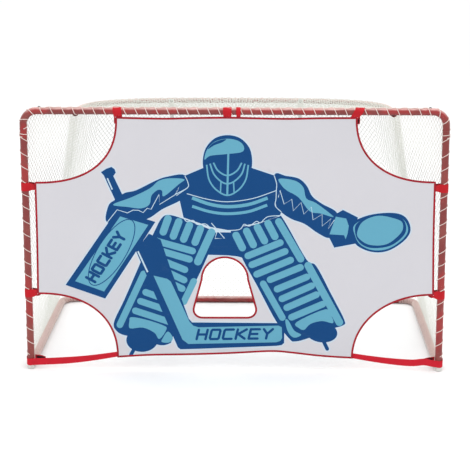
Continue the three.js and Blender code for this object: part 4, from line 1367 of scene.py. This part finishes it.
@dataclass
class Keeper:
    """The sheet's goalkeeper, drawn as flat inks in millimetres of the sheet's own plane.

    Shapes are painted in order, later ones over earlier ones.
    """

    halo: float = 6.0
    layers: list[tuple[Ink, Outline]] = field(default_factory=list)

    def paint(self, ink: Ink, *outlines: Outline) -> None:
        """Adds shapes in one ink."""
        self.layers += [(ink, outline) for outline in outlines]

    def mass(self, *outlines: Outline) -> None:
        """Dark shapes, each with a pale edge round it that the others then cover."""
        self.paint(Ink.HALO, *(grown(outline, self.halo) for outline in outlines))
        self.paint(Ink.NAVY, *outlines)

    def silhouettes(self) -> None:
        """The dark shapes that all the rest is drawn on."""
        torso = plain([(-223, 896), (-144, 930), (-100, 940), (40, 940), (74, 931), (171, 899),
                       (190, 830), (176, 762), (204, 734), (198, 718), (112, 686), (40, 672),
                       (-25, 649), (-110, 664), (-231, 707), (-247, 783), (-215, 815)])
        left_arm = blob([(-222, 897), (-299, 892), (-352, 874), (-440, 830), (-492, 817),
                         (-535, 786), (-565, 758), (-573, 684), (-480, 690), (-393, 700),
                         (-324, 745), (-245, 784), (-212, 818)])
        right_arm = blob([(171, 900), (223, 897), (280, 885), (316, 852), (340, 806), (384, 772),
                          (452, 730), (440, 660), (418, 617), (365, 640), (308, 680), (250, 702),
                          (204, 733), (180, 764)])
        blocker = plain([(-526, 741), (-356, 687), (-588, 331), (-766, 393)])
        left_pad = blob([(-358, 650), (-330, 702), (-300, 719), (-240, 704), (-120, 656),
                         (-88, 640), (-112, 560), (-180, 410), (-240, 300), (-285, 150),
                         (-300, 121), (-350, 114), (-420, 150), (-500, 158), (-540, 180),
                         (-550, 222), (-500, 330), (-430, 490), (-390, 580)], 6)
        right_pad = blob([(-20, 648), (90, 676), (188, 712), (216, 697), (317, 519), (362, 488),
                          (430, 360), (492, 238), (486, 212), (440, 196), (330, 150), (272, 134),
                          (245, 146), (182, 232), (100, 390), (32, 519)], 6)
        shorts = plain([(-130, 640), (60, 640), (50, 519), (10, 530), (-34, 535), (-130, 537)])
        glove = blob([(513, 681), (590, 721), (696, 732), (756, 711), (779, 653), (749, 602),
                      (679, 558), (608, 554), (544, 582), (520, 624)])
        cuff = plain([(442, 724), (477, 745), (544, 711), (530, 640), (535, 592), (441, 573),
                      (418, 618)])
        skates = [oval((-424, 137), (72, 57), 4), oval((390, 179), (72, 48), -8)]
        runners = [capsule((-452, 110), (-476, 66), 17), capsule((398, 140), (417, 100), 17)]
        grip = plain([(-595, 910), (-572, 925), (-548, 934), (-534, 924), (-529, 908),
                      (-540, 893), (-500, 806), (-532, 780), (-582, 895)])
        stick = plain([(-446, 556), (-386, 634), (-334, 606), (-290, 470), (-211, 240),
                       (-196, 222), (187, 220), (214, 212), (222, 198), (221, 126), (210, 116),
                       (185, 112), (-250, 94), (-262, 104)])
        shell = blob([(-34, 1077), (22, 1063), (62, 1020), (74, 962), (66, 905), (44, 855),
                      (4, 816), (-36, 805), (-76, 816), (-114, 855), (-136, 905), (-144, 962),
                      (-130, 1020), (-90, 1063)])
        self.stick = stick
        self.mass(torso, left_arm, right_arm, shorts, left_pad, right_pad, *skates, *runners,
                  cuff, glove, grip, blocker, stick, shell)

    def mask(self) -> None:
        """The helmet with its wire cage."""
        self.paint(Ink.SKY, blob([(-136, 968), (-125, 1012), (-90, 1048), (-34, 1061), (16, 1050),
                                  (38, 1024), (27, 1002), (-36, 993), (-110, 985)]))
        self.paint(Ink.NAVY, blob([(-122, 1014), (-100, 1040), (-66, 1055), (-40, 1058),
                                   (-60, 1044), (-92, 1032)]))
        bars = [[(-127, 945), (-117, 880), (-86, 834), (-36, 808), (14, 833), (46, 880), (57, 945)],
                [(-112, 950), (-96, 905), (-66, 872), (-36, 860), (-4, 872), (28, 905), (42, 950)],
                [(-97, 954), (-76, 918), (-36, 897), (6, 918), (28, 954)]]
        self.paint(Ink.SKY, *(stroke(bar, 7) for bar in bars))
        self.paint(Ink.SKY, stroke([(-64, 868), (-66, 822)], 6), stroke([(-8, 868), (-6, 822)], 6))
        self.paint(Ink.SKY, capsule((-31, 1000), (-36, 812), 9))

    def body(self) -> None:
        """Chest bands, seams and sleeves."""
        self.paint(Ink.SKY,
                   stroke([(-192, 796), (-115, 768), (-36, 757), (57, 767), (143, 797)], 15),
                   stroke([(-192, 758), (-115, 734), (-36, 725), (57, 735), (141, 765)], 13))
        self.paint(Ink.SKY, blob([(-545, 764), (-463, 797), (-380, 838), (-340, 872), (-292, 884),
                                  (-226, 880), (-250, 858), (-317, 803), (-325, 828),
                                  (-345, 831), (-372, 806), (-382, 766), (-420, 748),
                                  (-478, 754)], 4))
        self.paint(Ink.SKY, blob([(192, 884), (262, 876), (300, 846), (314, 796), (356, 776),
                                  (418, 730), (434, 712), (378, 728), (330, 738), (280, 800),
                                  (230, 830), (206, 852)], 4))
        seams = [
            [(-215, 815), (-124, 790), (-36, 779), (75, 794), (181, 831)],
            [(171, 899), (182, 862), (181, 831)],
            [(181, 831), (180, 794), (177, 762), (204, 734)],
            [(-223, 894), (-211, 868), (-212, 842), (-268, 811)],
            [(-232, 707), (-216, 688), (-188, 694), (-170, 675), (-134, 678), (-111, 660),
             (-88, 650), (-25, 649), (21, 655), (39, 678), (62, 669), (93, 691), (112, 685),
             (143, 712), (198, 718)],
        ]
        self.paint(Ink.PALE, *(stroke(seam, 3.6, 4) for seam in seams))
        gusset = [(-107, 682), (-48, 612), (-91, 612), (-84, 637), (-104, 660)]
        self.paint(Ink.PALE, stroke(gusset, 4, straight=True))
        left_folds = [(-571, 684), (-526, 741), (-480, 727), (-455, 740), (-430, 739),
                      (-410, 729), (-392, 749), (-375, 744), (-338, 812), (-337, 766), (-266, 811),
                      (-250, 846), (-262, 806), (-211, 842)]
        right_folds = [(190, 800), (197, 833), (216, 770), (250, 792), (257, 740), (291, 777),
                       (304, 725), (337, 757), (345, 699), (385, 724), (386, 671), (425, 705),
                       (413, 659), (440, 699)]
        self.paint(Ink.PALE, stroke(left_folds, 3.4, straight=True),
                   stroke(right_folds, 3.4, straight=True))

    def pads(self) -> None:
        """Leg pads: upright rolls above the knee, flat rolls below, a long bar at each side."""
        upright = [((-300, 702), (-322, 641)), ((-252, 688), (-277, 622)),
                   ((-205, 672), (-231, 608)), ((-156, 657), (-180, 594)),
                   ((3, 627), (31, 570)), ((50, 646), (80, 584)),
                   ((98, 664), (130, 602)), ((145, 682), (176, 622))]
        self.paint(Ink.SKY, *(capsule(a, b, 33) for a, b in upright))
        bars = [((-107, 640), (-168, 505), 35), ((-187, 414), (-232, 318), 30),
                ((193, 690), (292, 520), 33), ((326, 490), (470, 226), 34),
                ((125, 404), (212, 246), 30), ((-412, 448), (-524, 208), 30)]
        self.paint(Ink.SKY, *(capsule(a, b, w) for a, b, w in bars))
        rolls = [((-360, 602), (-192, 554)), ((-345, 558), (-206, 516)), ((-330, 510), (-227, 468)),
                 ((-310, 458), (-231, 420)), ((-290, 404), (-240, 380)),
                 ((-404, 362), (-350, 342)), ((-428, 320), (-330, 286)),
                 ((-452, 275), (-300, 224)), ((56, 533), (200, 594)), ((74, 492), (222, 554)),
                 ((96, 448), (247, 514)), ((156, 423), (291, 481)), ((188, 379), (320, 437)),
                 ((210, 334), (342, 396)), ((232, 293), (364, 355)), ((254, 248), (393, 311))]
        self.paint(Ink.SKY, *(capsule(a, b, 31) for a, b in rolls))
        self.paint(Ink.SKY, blob([(-480, 226), (-470, 245), (-400, 232), (-330, 208), (-312, 190),
                                  (-345, 142), (-368, 172), (-420, 196), (-478, 192)], 4))
        self.paint(Ink.SKY, blob([(-306, 178), (-284, 148), (-300, 126), (-334, 128), (-330, 146)], 4))
        self.paint(Ink.SKY, blob([(276, 225), (408, 288), (436, 250), (440, 222), (392, 232),
                                  (340, 218), (312, 190), (290, 196)], 4))
        self.paint(Ink.SKY, blob([(226, 236), (240, 232), (266, 186), (298, 166), (270, 152),
                                  (248, 164), (232, 196)], 4))

    def gloves_and_stick(self) -> None:
        """The blocker's face, the catching glove, and the stick's pale faces."""
        self.paint(Ink.SKY, plain([(-513, 711), (-388, 673), (-592, 364), (-722, 411)]))
        ring = oval((-555, 545), (176, 62), 58)
        self.paint(Ink.NAVY, stroke(np.concatenate([ring, ring[:1]]), 4, straight=True))
        self.paint(Ink.NAVY, *lettering("HOCKEY", (-632, 408), (0.56, 0.828), (-0.78, 0.42), 45, 50))
        self.paint(Ink.SKY, plain([(446, 714), (492, 706), (504, 673), (500, 640), (491, 612),
                                   (484, 630), (419, 634)]))
        self.paint(Ink.SKY, blob([(528, 676), (592, 710), (690, 722), (746, 702), (768, 654),
                                  (742, 608), (680, 568), (612, 562), (556, 588), (532, 630)]))
        self.paint(Ink.NAVY, blob([(532, 668), (566, 702), (640, 728), (712, 720), (752, 692),
                                   (754, 636), (690, 582), (600, 573), (546, 606)]))
        self.paint(Ink.SKY, blob([(542, 644), (567, 693), (636, 719), (720, 702), (744, 680),
                                  (736, 640), (676, 590), (600, 586), (552, 614)]))
        self.paint(Ink.NAVY, self.stick)
        self.paint(Ink.SKY, plain([(-368, 440), (-306, 425), (-290, 412), (-208, 226),
                                   (-190, 206), (-166, 199), (196, 208), (210, 200), (212, 150),
                                   (204, 136), (184, 129), (-214, 120), (-240, 140)]))
        self.paint(Ink.NAVY, *lettering("HOCKEY", (-176, 143), (1, 0.012), (0.24, 1.0), 59, 44))
        self.paint(Ink.PALE, stroke([(-436, 552), (-394, 456)], 7), stroke([(-567, 883), (-546, 832)], 6))

    def build(self, scale: tuple[float, float], shift: tuple[float, float]
              ) -> list[tuple[Ink, Outline]]:
        """Draws the keeper.

        Args:
            scale: how much wider and taller the print comes out.
            shift: how far it stands from where it is drawn.

        Returns:
            The inks and their outlines, lowest first.
        """
        self.silhouettes()
        self.body()
        self.mask()
        self.pads()
        self.gloves_and_stick()
        return [(ink, outline * scale + shift) for ink, outline in self.layers]


def inside(outline: Outline, points: np.ndarray) -> np.ndarray:
    """Which points an outline encloses: a ray to the right crosses it an odd number of times."""
    low, high = outline.min(0), outline.max(0)
    near = np.flatnonzero(((points > low) & (points < high)).all(axis=1))
    hit = np.zeros(len(points), bool)
    a, b = outline[None], np.roll(outline, -1, axis=0)[None]
    p = points[near][:, None]
    spans = (a[..., 1] > p[..., 1]) != (b[..., 1] > p[..., 1])
    rise = np.where(b[..., 1] == a[..., 1], 1e-12, b[..., 1] - a[..., 1])
    x = a[..., 0] + (p[..., 1] - a[..., 1]) * (b[..., 0] - a[..., 0]) / rise
    hit[near] = (spans & (p[..., 0] < x)).sum(axis=1) % 2 == 1
    return hit


@dataclass
class TargetSheet:
    """The printed cloth with its four corner targets, five-hole and sewn binding."""

    at: Layout
    half: float = 885.0
    top: float = 1165.0
    foot: float = 56.0
    print_scale: tuple[float, float] = (1.002, 1.0054)
    print_shift: tuple[float, float] = (5.5, 2.7)
    thickness: float = 1.1 * MM
    binding_width: float = 9.0 * MM
    binding_thickness: float = 2.6 * MM
    grid: float = 20.0
    flat: tuple[float, float] = (1.77, 1.103)

    def __post_init__(self) -> None:
        """Reads where the cloth hangs."""
        low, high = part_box("target_sheet")
        self.front = (low.y + high.y) / 2

    @staticmethod
    def corner(outer: float, inner: float, base: float, level: float, roundness: float) -> Outline:
        """One corner cut, a quarter of a superellipse about the sheet's square corner.

        Args:
            outer: x where the cut meets the side edge.
            inner: x where it meets the top or the hem.
            base: z of the top or the hem.
            level: z where the cut meets the side edge.
            roundness: the superellipse's exponent.

        Returns:
            Points from the top or the hem to the side edge.
        """
        angle = np.radians(np.linspace(0, 90, 31))
        power = 2 / roundness
        x = outer + (inner - outer) * np.abs(np.cos(angle)) ** power
        z = base + (level - base) * np.abs(np.sin(angle)) ** power
        return np.stack([x, z], axis=1)

    def edge(self) -> Outline:
        """The sheet's outer edge, counter-clockwise from the foot of its right-hand cut."""
        low_right = self.corner(self.half + 14, 539, self.foot + 2, 358, 2.1)
        high_right = self.corner(self.half + 6, 540, self.top + 1, 880, 2.3)
        high_left = self.corner(-self.half - 2, -522, self.top, 872, 2.4)
        low_left = self.corner(-self.half - 6, -534, self.foot, 355, 2.35)
        head = smooth_through([high_right[0], (366, self.top), (235, self.top - 3),
                               (90, self.top - 1), (-30, self.top + 1), (-186, self.top - 1),
                               (-291, self.top - 4), (-396, self.top - 3), high_left[0]], 7)
        hem = smooth_through([low_left[0], (-380, 66), (-200, 71), (0, 78), (170, 87), (262, 81),
                              (370, 69), (462, 62), low_right[0]], 7)
        right = smooth_through([low_right[-1], (self.half + 8, 620), high_right[-1]], 11)
        left = smooth_through([high_left[-1], (-self.half - 2, 620), low_left[-1]], 11)
        return np.concatenate([low_right[:-1], right[:-1], high_right[::-1][:-1], head[:-1],
                               high_left[:-1], left[:-1], low_left[::-1][:-1], hem[:-1]])

    def five_hole(self) -> Outline:
        """The hole between the pads: an arch on sides that splay out to two round corners."""
        x, low, spring, arch, half, r = -42.0, 252.0, 427.0, 101.0, 149.0, 34.0
        turn = np.radians(np.linspace(0, 180, 25))
        arc = np.stack([x + arch * np.cos(turn), spring + arch * np.sin(turn)], axis=1)
        foot = filleted([arc[-1], (x - half, low), (x + half, low), arc[0]], r, 8)
        return np.concatenate([arc, resampled(foot, 60)[1:-1]])

    def sway(self, points: np.ndarray) -> np.ndarray:
        """How far the hung cloth stands back from its plane, in metres: soft folds that run
        down from the straps, a shallow belly, and a little ripple along the edges."""
        x, z = points[:, 0] * MM, points[:, 1] * MM
        drop = (self.top * MM - z) / 1.1
        folds = 1.5 * np.sin(7.3 * x + 2.2 * z) + 1.1 * np.sin(13.1 * x - 5.0 * z + 0.7)
        ripple = 0.7 * np.sin(23.0 * x + 8.0 * z) * np.exp(-3 * drop)
        belly = 3.0 * np.sin(np.pi * np.clip(drop, 0, 1)) * np.cos(1.6 * x)
        return (folds * (0.35 + 0.65 * np.clip(drop * 2, 0, 1)) + ripple - belly) * MM

    def build(self) -> None:
        """Cuts the cloth along every printed outline, colours it and binds its edges."""
        layers = Keeper().build(self.print_scale, self.print_shift)
        edge, hole = self.edge(), self.five_hole()
        xs = np.arange(-self.half + 7, self.half, self.grid)
        zs = np.arange(self.foot + 5, self.top, self.grid)
        mesh_x, mesh_z = np.meshgrid(xs, zs)
        mesh_x = mesh_x + 0.5 * self.grid * (np.arange(len(zs)) % 2)[:, None]
        loose = np.stack([mesh_x.ravel(), mesh_z.ravel()], axis=1)
        loops = [edge, hole] + [outline for _, outline in layers]
        count = np.cumsum([len(loose)] + [len(loop) for loop in loops])
        edges = [(int(start + k), int(start + (k + 1) % len(loop)))
                 for start, loop in zip(count, loops) for k in range(len(loop))]
        verts = np.concatenate([loose] + loops)
        result = delaunay_2d_cdt([Vector(p) for p in verts.tolist()], edges, [], 0, 1e-3, False)
        flat = np.array([tuple(v) for v in result[0]])
        triangles = np.array(result[2])
        centre = flat[triangles].mean(axis=1)
        keep = inside(edge, centre) & ~inside(hole, centre)
        triangles, centre = triangles[keep], centre[keep]
        a, b, c = (flat[triangles[:, k]] for k in range(3))
        area = (b[:, 0] - a[:, 0]) * (c[:, 1] - a[:, 1]) - (b[:, 1] - a[:, 1]) * (c[:, 0] - a[:, 0])
        triangles[area < 0] = triangles[area < 0][:, ::-1]
        ink = np.tile(Ink.CLOTH.value, (len(triangles), 1))
        for colour, outline in layers:
            ink[inside(outline, centre)] = colour.value
        used, triangles = np.unique(triangles, return_inverse=True)
        triangles = triangles.reshape(-1, 3)
        flat = flat[used]
        self.area = float(np.abs(area[np.abs(area) > 0]).sum() / 2) * MM * MM
        self.cloth(flat, triangles, ink)
        coat = Webbing("sheet_binding", linear(186, 26, 42), linear(120, 14, 30),
                       linear(196, 110, 112), 100.0, 1.4 * MM).material()
        self.bound("target_sheet_binding", edge, coat, 1)
        self.bound("five_hole_binding", hole, coat, -1)

    def cloth(self, flat: np.ndarray, triangles: np.ndarray, ink: np.ndarray) -> None:
        """The cloth with a front and a paler back, closed round its edges."""
        back = self.front + self.sway(flat)
        shift = self.thickness / 2
        front_points = np.column_stack([flat[:, 0] * MM, back - shift, flat[:, 1] * MM])
        back_points = front_points + [0, self.thickness, 0]
        sides = np.concatenate([triangles[:, [0, 1]], triangles[:, [1, 2]], triangles[:, [2, 0]]])
        key = np.sort(sides, axis=1) @ np.array([len(flat), 1])
        _, index, uses = np.unique(key, return_index=True, return_counts=True)
        rim = sides[index[uses == 1]]
        n = len(flat)
        wall = np.concatenate([np.stack([rim[:, 1], rim[:, 0], rim[:, 0] + n], axis=1),
                               np.stack([rim[:, 1], rim[:, 0] + n, rim[:, 1] + n], axis=1)])
        faces = np.concatenate([triangles, triangles[:, ::-1] + n, wall])
        plain_cloth = np.array(Ink.CLOTH.value)
        colours = np.concatenate([ink, 0.55 * ink + 0.45 * plain_cloth,
                                  np.tile(plain_cloth, (len(wall), 1))])
        colours = np.column_stack([colours, np.ones(len(colours))])
        skin = Skin(np.concatenate([front_points, back_points]), [faces],
                    [np.zeros((len(faces), 3, 2))], colours)
        self.piece = made("target_sheet", skin, PrintedCloth().material(),
                          stands_for=["target_sheet"], crease=60)

    def bound(self, name: str, outline: Outline, coat: bpy.types.Material, hand: int) -> None:
        """Tape folded over an edge, carried right round it.

        Args:
            name: the piece's name.
            outline: the edge.
            coat: its finish.
            hand: 1 where the cloth is inside the outline, -1 where it is outside.
        """
        even = resampled(np.concatenate([outline, outline[:1]]), 2 * len(outline))[:-1]
        inner = grown(even, -hand * (self.binding_width / MM / 2 - 1.0))
        path = np.column_stack([inner[:, 0] * MM, self.front + self.sway(inner), inner[:, 1] * MM])
        section = band_section(self.binding_width, self.binding_thickness)
        made(name, swept(path, np.array([0, -1.0, 0]), section, closed=True), coat)


# ---------- straps ----------
@dataclass
class Strap:
    """One strap: where its loop is and how its webbing lies."""

    name: str
    middle: Sequence[float]
    ahead: Sequence[float]
    across: Sequence[float]
    width: float
    edge: float
    sewn: float = 25 * MM
    loop: float = 17.9 * MM
    rise: float = 0.0
    tilt: float = 0.0
    twist: float = 0.0
    taper: float = 0.0
    wide: float = 1.0
    lift: float = 0.0
    flap_taper: float = 0.12
    wave: float = 0.0


@dataclass
class Straps:
    """Red webbing straps that hold the sheet, with hook-taped ends that peel away."""

    at: Layout
    thickness: float = 1.8 * MM
    long_droop: float = 10 * MM
    wave_place: float = 66 * MM
    wave_reach: float = 34 * MM
    tail_y: float = -5.7 * MM
    flap_thickness: float = 1.9 * MM

    def listed(self) -> list[Strap]:
        """Every strap, placed from its CAD node."""
        at = self.at
        straps = []
        for name in ("top_left", "top_centre", "top_right", "top_tie"):
            low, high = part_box(f"{name}_strap")
            straps.append(Strap(name, ((low.x + high.x) / 2, at.mouth_y, at.bar_z), (0, 0, -1),
                                (1, 0, 0), high.x - low.x, 28 * MM, sewn=12 * MM,
                                twist={"top_left": -0.1, "top_right": 0.6}.get(name, 0.0),
                                taper=0.22))
        for side in SIDES:
            s = SIGN[side]
            for height in ("upper", "lower"):
                low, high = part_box(f"{side}_{height}_strap")
                straps.append(Strap(f"{side}_{height}", (s * at.post_x, at.mouth_y,
                                                         (low.z + high.z) / 2),
                                    (-s, 0, 0), (0, 0, 1), high.z - low.z, 42 * MM,
                                    sewn=9 * MM, taper=0.5,
                                    lift=9 * MM if height == "lower" else -4 * MM,
                                    flap_taper=0.5))
            straps.append(Strap(f"{side}_foot", (s * at.post_x, at.mouth_y, 41 * MM), (-s, 0, 0),
                                (0, 0, 1), 27 * MM, 396 * MM, loop=18.4 * MM, rise=0.084,
                                tilt=0.36, wide=1.18, taper=0.34, flap_taper=0.4,
                                wave=8 * MM if side == "right" else 0.0))
        return straps

    def webbing(self, strap: Strap, coat: bpy.types.Material) -> None:
        """A strap's webbing: its sewn tail, the run to the tube and the loop round it.

        The loop is a circle about the tube's axis from 70 degrees before the front of the
        tube round to 58 degrees past its back, and the run is straight with a slight sag.

        Args:
            strap: which strap.
            coat: its finish.
        """
        ahead, across = np.array(strap.ahead, float), np.array(strap.across, float)
        back = np.array([0, 1.0, 0])
        reach = np.linspace(strap.edge + strap.sewn, strap.edge, 8)
        run = np.linspace(strap.edge, strap.loop * np.cos(np.radians(70)), 26)[1:-1]
        turn = np.radians(-70 - np.linspace(0, 232, 40))
        s = np.concatenate([reach, run, strap.loop * np.cos(turn)])
        start_y = strap.loop * np.sin(turn[0])
        share = (strap.edge - run) / (strap.edge - run[-1])
        y = np.concatenate([np.full(8, self.tail_y),
                            self.tail_y + (start_y - self.tail_y) * share ** 1.6,
                            strap.loop * np.sin(turn)])
        path = np.array(strap.middle) + s[:, None] * ahead + y[:, None] * back
        lift = strap.rise * s + strap.tilt * y
        long_run = strap.edge > 0.2
        if long_run:
            lift = lift - self.long_droop * np.sin(np.pi * np.clip((s - 20 * MM) / strap.edge, 0, 1))
            lift = lift + strap.wave * np.exp(-((s - self.wave_place) / self.wave_reach) ** 2)
        lean = -strap.twist * (np.minimum(s, strap.edge) - strap.edge / 2)
        path = path + (lift + lean)[:, None] * across
        section = band_section(strap.width, self.thickness, 6)
        late = np.clip((s - 0.4 * strap.edge) / (0.6 * strap.edge + strap.sewn), 0, 1)
        narrow = strap.wide - strap.taper * late
        path = path + (strap.lift * late ** 2)[:, None] * across
        scale = np.stack([np.ones(len(s)), narrow], axis=1)
        wind = 1.0 if np.cross(ahead, back) @ across > 0 else -1.0
        tangent = unit(np.gradient(path, axis=0))
        face = wind * np.cross(tangent, across)
        skin = swept(path, -face * wind, section, scale=scale)
        name = f"{strap.name}_strap"
        made(name, skin, coat, stands_for=[name])

    def flap(self, strap: Strap, coats: tuple[bpy.types.Material, bpy.types.Material]) -> None:
        """A strap's free end: red outside with black hook tape on the side that grips.

        Args:
            strap: which strap.
            coats: finishes of the webbing and of the hook tape.
        """
        name = f"{strap.name}_flap"
        low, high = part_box(name)
        ahead, across = np.array(strap.ahead, float), np.array(strap.across, float)
        centre = (np.array(low) + np.array(high)) / 2
        axis = int(np.argmax(np.abs(ahead)))
        root_s = min((low[axis] - strap.middle[axis]) * ahead[axis],
                     (high[axis] - strap.middle[axis]) * ahead[axis])
        tip_s = max((low[axis] - strap.middle[axis]) * ahead[axis],
                    (high[axis] - strap.middle[axis]) * ahead[axis])
        share = np.linspace(0, 1, 18)
        inset = self.flap_thickness / 2
        s = root_s + inset * 0.5 + share * (tip_s - root_s - inset)
        y = high.y - inset + share * (low.y - high.y + 2 * inset)
        y = y - at_bow(share) * 1.2 * MM
        middle = np.array(strap.middle, float)
        path = np.stack([middle[0] + s * ahead[0], y, centre[2] + 0 * s], axis=1)
        if axis == 2:
            path = np.stack([middle[0] + 0 * s, y, middle[2] + s * ahead[2]], axis=1)
        width = (high - low)[int(np.argmax(np.abs(across)))]
        late = np.clip((share - 0.5) / 0.5, 0, 1) ** 2
        path = path + (0.8 * strap.lift * late)[:, None] * across
        narrow = 1 - strap.flap_taper * late
        scale = np.stack([np.ones(18), narrow], axis=1)
        tangent = unit(np.gradient(path, axis=0))
        outward = np.cross(tangent, across)
        outward *= np.sign(outward[0, 1]) or 1.0
        webbing = swept(path + 0.45 * MM * outward, outward,
                        band_section(width, 1.0 * MM, 6), scale=scale)
        patch = path[3:-1] - 0.5 * MM * outward[3:-1]
        hooks = swept(patch, outward[3:-1], band_section(width - 9 * MM, 0.8 * MM, 6),
                      scale=scale[3:-1])
        made(name, webbing, coats[0], name, [name])
        made(f"{name}_hooks", hooks, coats[1], name)

    def build(self) -> list[Strap]:
        """Makes every strap and its flap."""
        red = Webbing("red_webbing", linear(200, 22, 36), linear(168, 10, 24),
                      linear(216, 80, 86), 27 * MM).material()
        low_red = Webbing("foot_strap_webbing", linear(208, 24, 46), linear(184, 12, 34),
                          linear(220, 96, 104), 27 * MM).material()
        hook = HookTape().material()
        straps = self.listed()
        for strap in straps:
            coat = low_red if strap.name.endswith("foot") else red
            self.webbing(strap, coat)
            self.flap(strap, (coat, hook))
        return straps


def at_bow(share: np.ndarray) -> np.ndarray:
    """A shallow bow: 0 at both ends and 1 in the middle."""
    return 4 * share * (1 - share)


# ---------- studio ----------
@dataclass
class Studio:
    """Pale floor, soft lights and the camera."""

    at: Layout
    distance: float = 6.36
    eye: float = 2.166
    aside: float = 0.129
    down: float = 13.56
    turn: float = 1.13
    lens: float = 112.0

    def floor(self) -> None:
        """A wide pale floor, just under the base tubes."""
        span = np.linspace(-30, 30, 5)
        x, y = np.meshgrid(span, span, indexing="xy")
        points = np.stack([x, y, np.full(x.shape, -0.5 * MM)], axis=-1)
        skin = grid_skin(points)
        r = Recipe("studio_floor", Specular_IOR_Level=0.0)
        tone = r.noise(r.place(), 0.4)
        colour = r.blend(0.15 * tone, (0.97, 0.97, 0.97), (0.93, 0.93, 0.93))
        mesh = bpy.data.meshes.new("floor")
        mesh.from_pydata(skin.points.tolist(), [], skin.faces[0].tolist())
        mesh.materials.append(r.finish(colour))
        obj = bpy.data.objects.new("floor", mesh)
        bpy.context.scene.collection.objects.link(obj)

    def lamp(self, name: str, place: Sequence[float], size: float, power: float) -> None:
        """A square soft light aimed at the middle of the goal."""
        data = bpy.data.lights.new(name, "AREA")
        data.size, data.energy = size, power
        lamp = bpy.data.objects.new(name, data)
        lamp.location = place
        aim = Vector((0, 0, 0.5)) - Vector(place)
        lamp.rotation_euler = aim.to_track_quat("-Z", "Y").to_euler()
        bpy.context.scene.collection.objects.link(lamp)

    def build(self) -> None:
        """Sets the floor, the lights, the world and the camera."""
        self.floor()
        self.lamp("key_light", (-2.6, -4.2, 4.2), 2.0, 16)
        self.lamp("top_light", (0.6, -0.2, 5.0), 3.0, 90)
        world = bpy.data.worlds.new("studio")
        world.use_nodes = True
        world.node_tree.nodes["Background"].inputs["Color"].default_value = (1, 1, 1, 1)
        world.node_tree.nodes["Background"].inputs["Strength"].default_value = 1.04
        scene = bpy.context.scene
        scene.world = world
        scene.view_settings.view_transform = "Standard"
        data = bpy.data.cameras.new("camera")
        data.sensor_width = 36.0
        data.lens = self.lens
        camera = bpy.data.objects.new("camera", data)
        camera.location = (self.aside, self.at.mouth_y - self.distance, self.eye)
        camera.rotation_euler = (np.radians(90 - self.down), 0, np.radians(self.turn))
        scene.collection.objects.link(camera)
        scene.camera = camera


def main() -> None:
    """Builds the goal in order and reports each part."""
    at = Layout()
    Studio(at).build()
    TubeFrame(at).build()
    Netting(at).build()
    straps = Straps(at).build()
    on_bar = [strap.middle[0] for strap in straps if strap.name.startswith("top")]
    on_post = [strap.middle[2] for strap in straps if strap.name in ("left_upper", "left_lower")]
    Lacing(at).build(on_bar, on_post, 19 * MM)
    sheet = TargetSheet(at)
    sheet.build()


if __name__ == "__main__":
    main()
